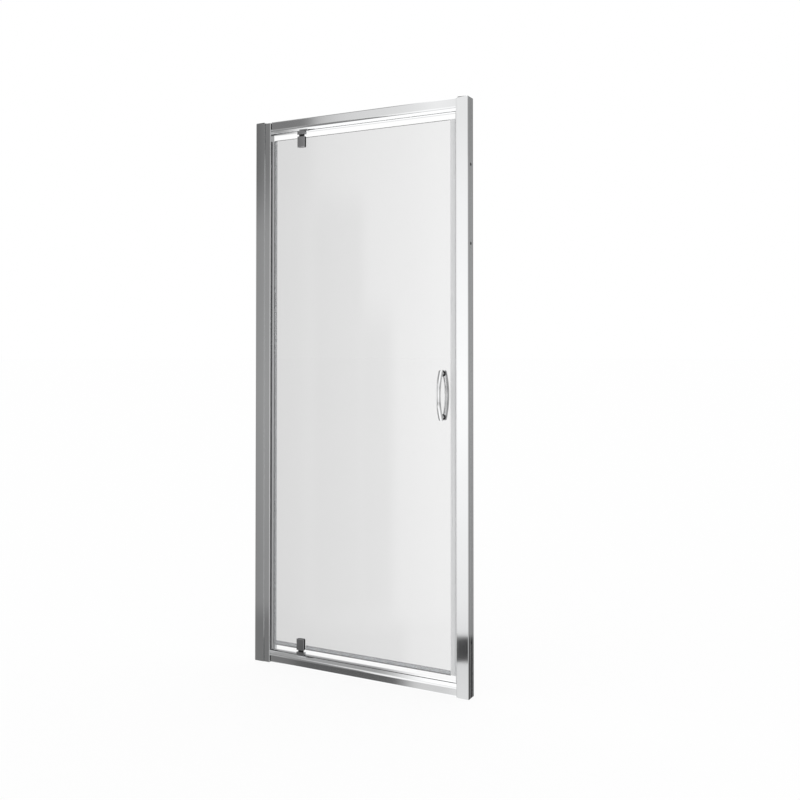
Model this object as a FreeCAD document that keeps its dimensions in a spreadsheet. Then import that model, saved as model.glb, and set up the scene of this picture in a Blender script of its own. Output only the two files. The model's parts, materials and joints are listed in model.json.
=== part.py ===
"""Framed pivot shower door: one clear glass leaf that turns on pins between two rails.

Millimetres. X runs along the width from the hinge side to the latch side, +Y into
the shower, +Z up. The origin is on the tray, in the middle of the width and in the
middle of the glass's thickness. Two U-shaped wall channels are screwed to the walls,
and the posts of the frame slide in them to take up walls that aren't square.
"""
import FreeCAD, Part
import Sketcher
import os
import re

# Every size that can be set by itself.
SIZES = {
    # whole frame
    "frame_width": 800.0,
    "frame_height": 1850.0,
    # wall channel: an open U whose lips face the door
    "channel_depth": 40.0,
    "channel_face": 37.0,
    "channel_wall": 2.0,
    "channel_corner": 2.5,
    "web_groove_place": 7.0,
    "web_groove_width": 2.0,
    "web_groove_depth": 0.5,
    "wall_hole_radius": 5.0,
    "wall_hole_low": 170.0,
    "wall_hole_below_top": 207.0,
    "wall_hole_step": 245.0,
    "cap_thickness": 3.0,
    "cap_tongue_length": 10.0,
    "cap_tongue_wall": 1.6,
    "cap_tongue_width": 28.0,
    "cap_tongue_fit": 0.1,
    # posts, which slide in the channels
    "post_width": 38.0,
    "post_wall": 2.0,
    "post_side_fit": 0.4,
    "post_corner": 2.0,
    "post_step_back": 12.0,
    "post_step_depth": 6.0,
    "hinge_post_shown": 23.0,
    "latch_post_shown": 6.0,
    "slide_in_stop": 2.0,
    "slide_travel": 20.0,
    "post_under_cap": 0.5,
    "plug_plate": 1.5,
    "plug_depth": 4.0,
    "plug_fit": 0.2,
    # rails
    "rail_tall": 40.0,
    "top_rail_tall": 43.5,
    "rail_deep": 24.0,
    "rail_wall": 1.8,
    "rail_round": 18.0,
    "rail_edge": 3.0,
    "block_length": 30.0,
    "block_fit": 0.15,
    "corner_screw_radius": 2.5,
    "corner_screw_length": 24.0,
    "corner_screw_head_radius": 4.5,
    "corner_screw_head": 3.0,
    "corner_screw_near": 15.0,
    "corner_screw_far": 28.0,
    "corner_screw_front": 3.0,
    "access_hole_radius": 5.5,
    "wall_access_radius": 8.0,
    # screws that lock the posts in the channels
    "lock_screw_radius": 2.0,
    "lock_screw_length": 9.0,
    "lock_head_radius": 4.0,
    "lock_head": 2.4,
    "lock_screw_inset": 7.0,
    "lock_screw_from_end": 300.0,
    "lock_slot_fit": 0.3,
    "screw_fit": 0.05,
    "screw_tip": 0.8,
    "screw_end_gap": 1.0,
    "head_edge": 1.2,
    # pivots
    "pivot_inset": 122.0,
    "pivot_forward": 8.0,
    "pivot_block_width": 30.0,
    "pivot_block_deep": 10.0,
    "pivot_block_tall": 11.0,
    "pivot_arm_left": 13.0,
    "pivot_arm_right": 3.0,
    "pivot_arm_tall": 4.0,
    "pivot_plate": 4.0,
    "pivot_plate_drop": 24.0,
    "pivot_floor": 2.0,
    "plate_screw_near": 8.0,
    "plate_screw_far": 18.0,
    "plate_screw_radius": 2.0,
    "plate_screw_length": 10.0,
    "bush_radius": 4.0,
    "bush_flange_width": 18.0,
    "bush_flange_deep": 9.0,
    "bush_flange_corner": 2.0,
    "thrust_gap": 0.3,
    "pin_radius": 3.0,
    "pin_fit": 0.05,
    "pin_nose": 0.5,
    "pin_end_gap": 1.0,
    "pin_in_clamp": 16.0,
    "press_fit_gap": 0.01,
    # clamps on the glass
    "clamp_width": 30.0,
    "clamp_tall": 38.0,
    "clamp_body": 8.5,
    "clamp_cover": 1.5,
    "clamp_corner": 2.0,
    "clamp_bevel": 0.6,
    "clamp_over_glass": 3.0,
    "clamp_back": 5.0,
    "clamp_back_width": 20.0,
    "clamp_back_inset": 3.0,
    "hub_aside": 2.5,
    "hub_width": 9.0,
    "hub_tall": 30.0,
    "gasket": 1.0,
    "gasket_inset": 0.5,
    "clamp_screw_radius": 2.0,
    "clamp_screw_step": 9.0,
    "clamp_screw_up": 4.0,
    "clamp_screw_grip": 5.0,
    # glass leaf
    "glass": 6.0,
    "glass_to_rail": 20.0,
    "glass_to_hinge_post": 7.5,
    "notch_gap": 1.0,
    # seals
    "seal_wall": 1.2,
    "seal_fit": 0.1,
    "hinge_seal_grip": 7.5,
    "hinge_seal_nose": 1.0,
    "hinge_seal_nose_half": 2.0,
    "hinge_seal_above_rail": 2.0,
    "hinge_seal_below_top": 1.5,
    "latch_seal_grip": 5.5,
    "latch_seal_nose": 11.4,
    "magnet_fit": 0.2,
    "frame_seal_deep": 7.0,
    "frame_seal_half": 5.0,
    "frame_seal_neck": 1.7,
    "frame_seal_foot": 3.5,
    "frame_seal_foot_wall": 1.6,
    "seal_gap": 0.6,
    "drip_seal_grip": 12.0,
    "drip_seal_end_gap": 0.5,
    # handles
    "handle_inset": 34.0,
    "handle_middle": 924.0,
    "handle_long": 160.0,
    "handle_end_round": 6.0,
    "handle_rise": 19.0,
    "handle_reach": 37.0,
    "handle_width": 16.0,
    "handle_thick": 8.0,
    "foot_radius": 7.8,
    "foot_from_end": 12.0,
    "washer": 2.0,
    "washer_radius": 9.0,
    "stud_radius": 3.0,
    "stud_in_foot": 7.0,
    "stud_hole_spare": 1.0,
    "glass_hole_radius": 6.0,
    "sleeve_fit": 0.2,
    "grub_radius": 2.0,
    "grub_length": 4.0,
    "grub_out": 8.0,
}

# Places and sizes that follow from those.
PLACES = {
    "half_width": "frame_width / 2",
    "half_depth": "channel_depth / 2",
    "channel_long": "frame_height - cap_thickness",
    "frame_top": "channel_long - post_under_cap",
    "wall_hole_high": "channel_long - wall_hole_below_top",
    "lock_screw_low": "lock_screw_from_end",
    "lock_screw_high": "channel_long - lock_screw_from_end",
    "channel_inside": "half_depth - channel_wall",
    "web_inside": "half_width - channel_wall",
    "lip_place": "half_width - channel_face",
    "hinge_face": "lip_place - hinge_post_shown",
    "latch_face": "lip_place - latch_post_shown",
    "post_half": "channel_inside - post_side_fit",
    "post_long": "frame_top - plug_plate",
    "slot_middle": "web_inside - slide_in_stop - lock_screw_inset - slide_travel / 2",
    "rail_half": "rail_deep / 2",
    "top_rail_face": "frame_height - top_rail_tall",
    "pivot_x": "-hinge_face + pivot_inset",
    "pin_hole": "pin_radius + press_fit_gap",
    "clamp_start": "glass_to_rail - clamp_over_glass",
    "bush_top": "clamp_start - thrust_gap",
    "block_front": "-pivot_forward - pivot_block_deep / 2",
    "block_rear": "-pivot_forward + pivot_block_deep / 2",
    "arm_rear": "rail_half + pivot_plate",
    "arm_middle": "(pivot_arm_left - pivot_arm_right) / 2",
    "clamp_inner": "glass / 2 + gasket",
    "cover_seat": "clamp_inner + clamp_body",
    "cover_face": "cover_seat + clamp_cover",
    "clamp_rear": "clamp_inner + clamp_back",
    "glass_left": "-hinge_face + glass_to_hinge_post",
    "glass_right": "latch_face - frame_seal_deep - seal_gap - latch_seal_nose",
    "glass_bottom": "rail_tall + glass_to_rail",
    "glass_top": "top_rail_face - glass_to_rail",
    "seal_inner": "glass / 2 + seal_fit",
    "seal_outer": "seal_inner + seal_wall",
    "hinge_seal_end": "glass_left + hinge_seal_grip",
    "latch_seal_end": "glass_right - latch_seal_grip",
    "handle_x": "glass_right - handle_inset",
    "bow_half": "handle_long / 2 - handle_end_round",
    "bow_radius": "(bow_half ^ 2 + handle_rise ^ 2) / (2 * handle_rise)",
    "bow_angle": "asin(bow_half / bow_radius)",
    "bow_crest": "handle_thick / 2 - handle_reach",
    "foot_up": "handle_long / 2 - foot_from_end",
    "foot_start": "glass / 2 + washer",
    "stud_hole_end": "foot_start + stud_in_foot + stud_hole_spare",
}

doc = FreeCAD.newDocument("PivotShowerDoor")
NODES = []


def with_sheets(text, own_sheet=False):
    """A formula with the sheet written before each name that it uses."""
    def qualified(found):
        word = found.group(0)
        if word in SIZES:
            return "Sizes." + word
        if word in PLACES and not own_sheet:
            return "Places." + word
        return word
    return re.sub(r"[a-z][a-z_]*", qualified, text)


def fill_sheets():
    """The driving sizes as plain numbers, and the places as formulas of them."""
    sizes = doc.addObject("Spreadsheet::Sheet", "Sizes")
    for row, (name, number) in enumerate(SIZES.items(), start=1):
        sizes.set(f"A{row}", name)
        sizes.set(f"B{row}", str(number))
        sizes.setAlias(f"B{row}", name)
    places = doc.addObject("Spreadsheet::Sheet", "Places")
    for row, (name, formula) in enumerate(PLACES.items(), start=1):
        places.set(f"A{row}", name)
        places.setAlias(f"B{row}", name)
    for row, (name, formula) in enumerate(PLACES.items(), start=1):
        places.set(f"B{row}", "=" + with_sheets(formula, own_sheet=True))
    doc.recompute()
    return places


sheet = fill_sheets()


def value(formula):
    """What a formula comes to now, in millimetres."""
    return float(sheet.evalExpression(with_sheets(str(formula))))


def bind(thing, prop, formula):
    thing.setExpression(prop, with_sheets(str(formula)))


def place(thing, where, turn=None):
    """Put a piece at three formulas; turn is an axis and an angle."""
    if turn:
        axis, angle = turn
        thing.Placement.Rotation = FreeCAD.Rotation(FreeCAD.Vector(*axis), angle)
    for letter, formula in zip("xyz", where):
        bind(thing, f"Placement.Base.{letter}", formula)


def new_body(label, where=None, turn=None, node=True):
    body = doc.addObject("PartDesign::Body", label)
    body.Label = label
    if where:
        place(body, where, turn)
    if node:
        NODES.append(body)
    return body


def plane_sketch(body, plane, start):
    """An empty sketch on one of the body's own planes, moved along the plane's normal."""
    sketch = body.newObject("Sketcher::SketchObject", f"{body.Label}_sketch")
    origin_plane = next(f for f in body.Origin.OriginFeatures if f.Role == plane + "_Plane")
    sketch.AttachmentSupport = [(origin_plane, "")]
    sketch.MapMode = "FlatFace"
    bind(sketch, "AttachmentOffset.Base.z", start)
    return sketch


def pin_point(sketch, piece, point, where):
    """Dimension one point of a sketch from the origin, both ways."""
    for kind, formula in zip(("DistanceX", "DistanceY"), where):
        row = sketch.addConstraint(Sketcher.Constraint(kind, -1, 1, piece, point, value(formula)))
        bind(sketch, f"Constraints[{row}]", formula)


def draw_outline(sketch, corners):
    """A closed outline of straight lines through the corners."""
    spots = [FreeCAD.Vector(value(u), value(v), 0) for u, v in corners]
    first = sketch.GeometryCount
    count = len(spots)
    for i in range(count):
        sketch.addGeometry(Part.LineSegment(spots[i], spots[(i + 1) % count]))
    for i in range(count):
        following = first + (i + 1) % count
        sketch.addConstraint(Sketcher.Constraint("Coincident", first + i, 2, following, 1))
    for i, corner in enumerate(corners):
        pin_point(sketch, first + i, 1, corner)


def draw_circle(sketch, centre, radius):
    middle = FreeCAD.Vector(value(centre[0]), value(centre[1]), 0)
    piece = sketch.addGeometry(Part.Circle(middle, FreeCAD.Vector(0, 0, 1), value(radius)))
    pin_point(sketch, piece, 3, centre)
    row = sketch.addConstraint(Sketcher.Constraint("Radius", piece, value(radius)))
    bind(sketch, f"Constraints[{row}]", radius)


def extrude(body, kind, plane, draw, low, high):
    """Pad or pocket what draw makes, from low to high along the plane's axis."""
    start = f"-({high})" if plane == "XZ" else low
    sketch = plane_sketch(body, plane, start)
    draw(sketch)
    before = body.Shape.Volume if kind == "Pocket" else 0.0
    feature = body.newObject(f"PartDesign::{kind}", f"{body.Label}_{kind.lower()}")
    feature.Profile = sketch
    bind(feature, "Length", f"({high}) - ({low})")
    feature.Reversed = kind == "Pocket"
    doc.recompute()
    if kind == "Pocket" and body.Shape.Volume > before - 1e-6:
        raise RuntimeError(f"{feature.Name} cuts nothing")
    return feature


def pad(body, plane, corners, low, high):
    return extrude(body, "Pad", plane, lambda sketch: draw_outline(sketch, corners), low, high)


def pocket(body, plane, corners, low, high):
    return extrude(body, "Pocket", plane, lambda sketch: draw_outline(sketch, corners), low, high)


def drill(body, plane, centres, radius, low, high, kind="Pocket"):
    def draw(sketch):
        for centre in centres:
            draw_circle(sketch, centre, radius)
    return extrude(body, kind, plane, draw, low, high)


def turned(body, corners):
    """A round piece: its half outline in X and Z, turned about Z."""
    sketch = plane_sketch(body, "XZ", "0")
    draw_outline(sketch, corners)
    feature = body.newObject("PartDesign::Revolution", f"{body.Label}_turned")
    feature.Profile = sketch
    feature.ReferenceAxis = (sketch, ["V_Axis"])
    feature.Angle = 360.0
    doc.recompute()
    return feature


def edges_along(shape, axis, corners):
    """Names of the straight edges along an axis that pass through the given corners."""
    across = [i for i in range(3) if i != axis]
    wanted = [(value(u), value(v)) for u, v in corners]
    names = []
    for number, edge in enumerate(shape.Edges, start=1):
        ends = [vertex.Point for vertex in edge.Vertexes]
        if len(ends) != 2 or (ends[0] - ends[1]).Length < 1e-6:
            continue
        if any(abs(ends[0][i] - ends[1][i]) > 1e-4 for i in across):
            continue
        for u, v in wanted:
            if abs(ends[0][across[0]] - u) < 1e-3 and abs(ends[0][across[1]] - v) < 1e-3:
                names.append(f"Edge{number}")
    return names


def edges_on(shape, axis, level):
    """Names of the edges that lie in one plane square to an axis."""
    place_on_axis = value(level)
    names = []
    for number, edge in enumerate(shape.Edges, start=1):
        box = edge.BoundBox
        low = (box.XMin, box.YMin, box.ZMin)[axis]
        high = (box.XMax, box.YMax, box.ZMax)[axis]
        if abs(low - place_on_axis) < 1e-3 and abs(high - place_on_axis) < 1e-3:
            names.append(f"Edge{number}")
    return names


def soften(body, names, size, kind="Fillet"):
    """Round or chamfer the named edges of the body's last feature."""
    if not names:
        raise RuntimeError(f"{body.Label}: no edge to soften")
    feature = body.newObject(f"PartDesign::{kind}", f"{body.Label}_{kind.lower()}")
    feature.Base = (body.Tip if body.Tip != feature else feature.BaseFeature, names)
    bind(feature, "Radius" if kind == "Fillet" else "Size", size)
    doc.recompute()
    return feature


def group(label, pattern, spots):
    """Several copies of one pattern piece, as separate solids of one node."""
    copies = []
    for where, turn in spots:
        copy = doc.addObject("App::Link", f"{label}_copy")
        copy.LinkedObject = pattern
        place(copy, where, turn)
        copies.append(copy)
    bundle = doc.addObject("Part::Compound", label)
    bundle.Label = label
    bundle.Links = copies
    NODES.append(bundle)
    doc.recompute()
    return bundle


def cut_away(body, tool):
    """Take one body's shape out of another."""
    feature = doc.addObject("PartDesign::Boolean", f"{body.Label}_less_{tool.Label}")
    body.addObject(feature)
    feature.Type = "Cut"
    feature.setObjects([tool])
    doc.recompute()
    return feature


def rectangle(left, low, right, high):
    return [(left, low), (right, low), (right, high), (left, high)]


X, Y, Z = 0, 1, 2
SIDES = {"left": -1, "right": 1}


# ---------------------------------------------------------------- wall channels
def lock_heights():
    return ["lock_screw_low", "(lock_screw_low + lock_screw_high) / 2", "lock_screw_high"]


def wall_hole_heights():
    return ["wall_hole_low", "wall_hole_high - wall_hole_step", "wall_hole_high"]


def wall_channel(side):
    """A U open towards the door, with holes to the wall and slots for the lock screws."""
    out = SIDES[side]
    body = new_body(f"wall_channel_{side}", ("0", "0", "0"))
    web, lip = f"{out} * half_width", f"{out} * lip_place"
    inside = f"{out} * web_inside"
    pad(body, "XY", [
        (web, "-half_depth"), (lip, "-half_depth"), (lip, "-channel_inside"),
        (inside, "-channel_inside"), (inside, "channel_inside"), (lip, "channel_inside"),
        (lip, "half_depth"), (web, "half_depth"),
    ], "0", "channel_long")
    corners = [(web, "-half_depth"), (web, "half_depth")]
    soften(body, edges_along(body.Shape, Z, corners), "channel_corner")
    low, high = (web, inside) if out < 0 else (inside, web)
    groove_floor = f"{out} * (half_width - web_groove_depth)"
    for middle in ("-web_groove_place", "web_groove_place"):
        groove = rectangle(web, f"{middle} - web_groove_width / 2",
                           groove_floor, f"{middle} + web_groove_width / 2")
        pocket(body, "XY", groove, "0", "channel_long")
    holes = [("0", height) for height in wall_hole_heights()]
    drill(body, "YZ", holes, "wall_hole_radius", low, high)
    lock_slots(body, out)
    return body


def lock_slots(body, out):
    """Level slots in the rear flange: the lock screws run along them as the post slides."""
    reach = "slide_travel / 2 + lock_screw_radius + lock_slot_fit"
    half = "lock_screw_radius + lock_slot_fit"
    middle = f"{out} * slot_middle"
    for height in lock_heights():
        slot = rectangle(f"{middle} - ({reach})", f"{height} - ({half})",
                         f"{middle} + ({reach})", f"{height} + ({half})")
        pocket(body, "XZ", slot, "channel_inside", "half_depth")


def channel_cap(side):
    """The plastic cap on a channel's top, with a tongue that runs down inside the web."""
    out = SIDES[side]
    body = new_body(f"channel_cap_{side}", ("0", "0", "0"))
    web, lip = f"{out} * half_width", f"{out} * lip_place"
    pad(body, "XY", rectangle(web, "-half_depth", lip, "half_depth"), "channel_long", "frame_height")
    near = f"{out} * (web_inside - cap_tongue_fit)"
    far = f"{out} * (web_inside - cap_tongue_fit - cap_tongue_wall)"
    tongue = rectangle(near, "-cap_tongue_width / 2", far, "cap_tongue_width / 2")
    pad(body, "XY", tongue, "channel_long - cap_tongue_length", "channel_long")
    corners = [(web, "-half_depth"), (web, "half_depth")]
    soften(body, edges_along(body.Shape, Z, corners), "channel_corner")
    return body


# ---------------------------------------------------------------- frame
def post_outline(out, face, inset="0"):
    """The post's section: a box whose rear corner beside the door is stepped back."""
    inner = f"{out} * ({face} + {inset})"
    stepped = f"{out} * ({face} + post_step_back + {inset})"
    outer = f"{out} * ({face} + post_width - {inset})"
    front, rear = f"-(post_half - {inset})", f"post_half - {inset}"
    step = f"post_step_depth - {inset}"
    return [(outer, front), (inner, front), (inner, step), (stepped, step), (stepped, rear), (outer, rear)]


def corner_screw_heights():
    near, far = "corner_screw_near", "corner_screw_far"
    return [near, far, f"frame_height - {near}", f"frame_height - {far}"]


def post(label, side, face):
    """A hollow post, with the holes of the screws that join it to the rails and channel."""
    out = SIDES[side]
    body = new_body(label, ("0", "0", "0"))
    outline = post_outline(out, face)
    pad(body, "XY", outline, "0", "post_long")
    soften(body, edges_along(body.Shape, Z, [outline[1], outline[2]]), "post_corner")
    pocket(body, "XY", post_outline(out, face, "post_wall"), "0", "post_long")
    inner = f"{out} * {face}"
    inner_wall = f"{out} * ({face} + post_wall)"
    outer = f"{out} * ({face} + post_width)"
    outer_wall = f"{out} * ({face} + post_width - post_wall)"
    inner_span = (inner, inner_wall) if out > 0 else (inner_wall, inner)
    outer_span = (outer_wall, outer) if out > 0 else (outer, outer_wall)
    screws = [("-corner_screw_front", height) for height in corner_screw_heights()]
    drill(body, "YZ", screws, "corner_screw_radius + screw_fit", *inner_span)
    drill(body, "YZ", screws, "access_hole_radius", *outer_span)
    wall_holes = [("0", height) for height in wall_hole_heights()]
    drill(body, "YZ", wall_holes, "wall_access_radius", *outer_span)
    lock_place = f"{out} * ({face} + post_width - lock_screw_inset)"
    locks = [(lock_place, height) for height in lock_heights()]
    drill(body, "XZ", locks, "lock_screw_radius + screw_fit", "post_half - post_wall", "post_half")
    return body


def seal_slot(body):
    """The slot along the latch post's inner face, where the frame seal is pushed in."""
    slot = rectangle("latch_face", "-(frame_seal_neck + magnet_fit)",
                     "latch_face + post_wall", "frame_seal_neck + magnet_fit")
    pocket(body, "XY", slot, "0", "post_long")


def post_plug(label, side, face):
    """The plug that closes a post's top: a plate, and a spigot inside the tube."""
    out = SIDES[side]
    body = new_body(label, ("0", "0", "0"))
    outline = post_outline(out, face)
    pad(body, "XY", outline, "post_long", "frame_top")
    spigot = post_outline(out, face, "(post_wall + plug_fit)")
    pad(body, "XY", spigot, "post_long - plug_depth", "post_long")
    soften(body, edges_along(body.Shape, Z, [outline[1], outline[2]]), "post_corner")
    return body


def plate_screw_drops():
    return ["plate_screw_near", "plate_screw_far"]


def rail(label, base, up, tall):
    """A hollow rail between the posts; its front edge beside the glass is well rounded."""
    body = new_body(label, ("0", "0", "0"))
    near, far = base, f"{base} + {up} * {tall}"
    inner_near = f"{base} + {up} * rail_wall"
    inner_far = f"{base} + {up} * ({tall} - rail_wall)"
    hollow_half = "(rail_half - rail_wall)"
    pad(body, "YZ", rectangle("-rail_half", near, "rail_half", far), "-hinge_face", "latch_face")
    soften(body, edges_along(body.Shape, X, [("-rail_half", far)]), "rail_round")
    soften(body, edges_along(body.Shape, X, [("-rail_half", near)]), "rail_edge")
    core = new_body(f"{label}_core", node=False)
    hollow = rectangle(f"-{hollow_half}", inner_near, hollow_half, inner_far)
    pad(core, "YZ", hollow, "-2 * half_width", "2 * half_width")
    soften(core, edges_along(core.Shape, X, [(f"-{hollow_half}", inner_far)]), "rail_round - rail_wall")
    cut_away(body, core)
    centres = [("pivot_x - arm_middle", f"{far} - {up} * {drop}") for drop in plate_screw_drops()]
    drill(body, "XZ", centres, "plate_screw_radius + screw_fit", "rail_half - rail_wall", "rail_half")
    return body


def corner_block_pattern(end, tall):
    """The block inside a rail's end, lying along X from its open face at zero."""
    body = new_body(f"corner_block_{end}", node=False)
    half = "(rail_half - rail_wall - block_fit)"
    low, high = "rail_wall + block_fit", f"{tall} - rail_wall - block_fit"
    pad(body, "YZ", rectangle(f"-{half}", low, half, high), "0", "block_length")
    soften(body, edges_along(body.Shape, X, [(f"-{half}", high)]), "rail_round - rail_wall - block_fit")
    centres = [("-corner_screw_front", "corner_screw_near"), ("-corner_screw_front", "corner_screw_far")]
    drill(body, "YZ", centres, "corner_screw_radius + screw_fit", "0", "block_length")
    return body


def screw_pattern(label, radius, length, head_radius, head):
    """A pan-head screw along Z, its head's underside at zero and its tip below."""
    body = new_body(label, node=False)
    turned(body, [
        ("0", f"-{length}"), (f"{radius} - screw_tip", f"-{length}"), (radius, f"-{length} + screw_tip"),
        (radius, "0"), (head_radius, "0"), (head_radius, f"{head} - head_edge"),
        (f"{head_radius} - head_edge", head), ("0", head),
    ])
    return body


TIP_TO_LEFT = ((0, 1, 0), 90.0)
TIP_TO_RIGHT = ((0, 1, 0), -90.0)
TIP_TO_FRONT = ((1, 0, 0), -90.0)
UPSIDE_DOWN = ((0, 1, 0), 180.0)
NO_TURN = ((0, 0, 1), 0.0)
HALF_TURN = ((0, 0, 1), 180.0)


def corner_joints():
    """Blocks in the rails' ends, and the screws through the posts into them."""
    for end, tall, height, turn in (("bottom", "rail_tall", "0", NO_TURN),
                                    ("top", "top_rail_tall", "frame_height", UPSIDE_DOWN)):
        block = corner_block_pattern(end, tall)
        mirrored = doc.addObject("Part::Mirroring", f"corner_block_{end}_mirror")
        mirrored.Source = block
        mirrored.Normal = FreeCAD.Vector(1, 0, 0)
        at_left, at_right = (block, mirrored) if end == "bottom" else (mirrored, block)
        copies = []
        for source, across in ((at_left, "-hinge_face"), (at_right, "latch_face")):
            copy = doc.addObject("App::Link", f"corner_blocks_{end}_copy")
            copy.LinkedObject = source
            place(copy, (across, "0", height), turn)
            copies.append(copy)
        bundle = doc.addObject("Part::Compound", f"corner_blocks_{end}")
        bundle.Links = copies
        NODES.append(bundle)
    screw = screw_pattern("corner_screw_pattern", "corner_screw_radius", "corner_screw_length",
                          "corner_screw_head_radius", "corner_screw_head")
    spots = []
    for height in corner_screw_heights():
        spots.append((("-(hinge_face + post_wall)", "-corner_screw_front", height), TIP_TO_RIGHT))
        spots.append((("latch_face + post_wall", "-corner_screw_front", height), TIP_TO_LEFT))
    group("corner_screws", screw, spots)


def lock_screws():
    """The screws that hold each post in its channel, heads on the channel's rear flange."""
    screw = screw_pattern("lock_screw_pattern", "lock_screw_radius", "lock_screw_length",
                          "lock_head_radius", "lock_head")
    head_seat = "half_depth + lock_slot_fit"
    for side, face in (("left", "hinge_face"), ("right", "latch_face")):
        across = f"{SIDES[side]} * ({face} + post_width - lock_screw_inset)"
        spots = [((across, head_seat, height), TIP_TO_FRONT) for height in lock_heights()]
        group(f"channel_lock_screws_{side}", screw, spots)


# ---------------------------------------------------------------- pivots
# Which way the hinge side lies in each end's own X, before the upper end is turned over.
HINGE_WAY = {"bottom": -1, "top": 1}


def pivot_ends():
    """Each end's name, the place of the rail's face on the pivot axis, and its turn."""
    return (("bottom", ("pivot_x", "0", "rail_tall"), None),
            ("top", ("pivot_x", "0", "top_rail_face"), UPSIDE_DOWN))


def pivot_block(end, where, turn):
    """A block ahead of the rail's flat, on an arm that laps and is screwed to the rail's rear."""
    body = new_body(f"pivot_block_{end}", where, turn)
    half = "pivot_block_width / 2"
    head = rectangle(f"-{half}", "block_front", half, "block_rear")
    pad(body, "XY", head, "0", "pivot_block_tall")
    way = HINGE_WAY[end]
    span = [f"{-way} * pivot_arm_right", f"{way} * pivot_arm_left"]
    left, right = span if way > 0 else reversed(span)
    arm = [("block_rear", "0"), ("block_rear", "pivot_arm_tall"), ("arm_rear", "pivot_arm_tall"),
           ("arm_rear", "-pivot_plate_drop"), ("rail_half", "-pivot_plate_drop"), ("rail_half", "0")]
    pad(body, "YZ", arm, left, right)
    bore = "bush_radius + press_fit_gap"
    drill(body, "XY", [("0", "-pivot_forward")], bore, "pivot_floor", "pivot_block_tall")
    screws = [(f"{way} * arm_middle", f"-{drop}") for drop in plate_screw_drops()]
    drill(body, "XZ", screws, "plate_screw_radius + screw_fit", "rail_half", "arm_rear")
    return body


def pivot_bush(end, where, turn):
    """A plastic bush with an oblong flange, pressed in the block; the pin turns in it."""
    body = new_body(f"pivot_bush_{end}", where, turn)
    wide, deep = "bush_flange_width / 2", "bush_flange_deep / 2"
    front, rear = f"-pivot_forward - {deep}", f"-pivot_forward + {deep}"
    corners = rectangle(f"-{wide}", front, wide, rear)
    pad(body, "XY", corners, "pivot_block_tall", "bush_top")
    soften(body, edges_along(body.Tip.Shape, Z, corners), "bush_flange_corner")
    centre = [("0", "-pivot_forward")]
    drill(body, "XY", centre, "bush_radius", "pivot_floor", "pivot_block_tall", "Pad")
    drill(body, "XY", centre, "pin_radius + pin_fit", "pivot_floor", "bush_top")
    return body


def pivot_pin(end, where, turn):
    """The steel pin, held in the clamp's body and turning in the bush."""
    across, _, along = where
    body = new_body(f"pivot_pin_{end}", (across, "-pivot_forward", along), turn)
    low, high = "pivot_floor + pin_end_gap", "clamp_start + pin_in_clamp"
    turned(body, [
        ("0", low), ("pin_radius - pin_nose", low), ("pin_radius", f"{low} + pin_nose"),
        ("pin_radius", f"{high} - pin_nose"), ("pin_radius - pin_nose", high), ("0", high),
    ])
    return body


def clamp_face(inset="0"):
    """The clamp's outline seen from the front: a rectangle with its corners cut off."""
    half = f"(clamp_width / 2 - {inset})"
    low, high = f"(clamp_start + {inset})", f"(clamp_start + clamp_tall - {inset})"
    cut = "clamp_corner"
    return [
        (f"-{half} + {cut}", low), (f"{half} - {cut}", low), (half, f"{low} + {cut}"),
        (half, f"{high} - {cut}"), (f"{half} - {cut}", high), (f"-{half} + {cut}", high),
        (f"-{half}", f"{high} - {cut}"), (f"-{half}", f"{low} + {cut}"),
    ]


def clamp_back_face(end, inset="0"):
    """The smaller inner plate's outline, about the hub's middle."""
    middle = f"{HINGE_WAY[end]} * hub_aside"
    half = f"(clamp_back_width / 2 - {inset})"
    low = f"clamp_start + clamp_back_inset + {inset}"
    high = f"clamp_start + clamp_tall - clamp_back_inset - {inset}"
    return rectangle(f"{middle} - {half}", low, f"{middle} + {half}", high)


def clamp_screw_heights():
    upper = "clamp_start + hub_tall - clamp_screw_up"
    return [upper, f"{upper} - clamp_screw_step"]


def clamp_screw_centres(end):
    return [(f"{HINGE_WAY[end]} * hub_aside", height) for height in clamp_screw_heights()]


def clamp_front(end, where, turn):
    """The outer clamp body, bored for the pin, with the hub that fills the glass's notch."""
    body = new_body(f"clamp_front_{end}", where, turn)
    pad(body, "XZ", clamp_face("clamp_bevel"), "-cover_seat", "-clamp_inner")
    middle = f"{HINGE_WAY[end]} * hub_aside"
    hub = rectangle(f"{middle} - hub_width / 2", "clamp_start + clamp_bevel",
                    f"{middle} + hub_width / 2", "clamp_start + hub_tall")
    pad(body, "XZ", hub, "-clamp_inner", "clamp_inner")
    centre = [("0", "-pivot_forward")]
    drill(body, "XY", centre, "pin_hole", "clamp_start + clamp_bevel", "clamp_start + pin_in_clamp")
    drill(body, "XZ", clamp_screw_centres(end), "clamp_screw_radius + screw_fit", "-clamp_screw_grip",
          "clamp_inner")
    return body


def clamp_cover(end, where, turn):
    """The plated cover on the outer clamp body's face."""
    body = new_body(f"clamp_cover_{end}", where, turn)
    pad(body, "XZ", clamp_face(), "-cover_face", "-cover_seat")
    soften(body, edges_on(body.Shape, Y, "-cover_face"), "clamp_bevel", "Chamfer")
    return body


def clamp_back(end, where, turn):
    """The inner clamp plate, with the two screw holes."""
    body = new_body(f"clamp_back_{end}", where, turn)
    pad(body, "XZ", clamp_back_face(end), "clamp_inner", "clamp_rear")
    soften(body, edges_on(body.Shape, Y, "clamp_rear"), "clamp_bevel", "Chamfer")
    drill(body, "XZ", clamp_screw_centres(end), "clamp_screw_radius + screw_fit", "clamp_inner",
          "clamp_rear")
    return body


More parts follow.
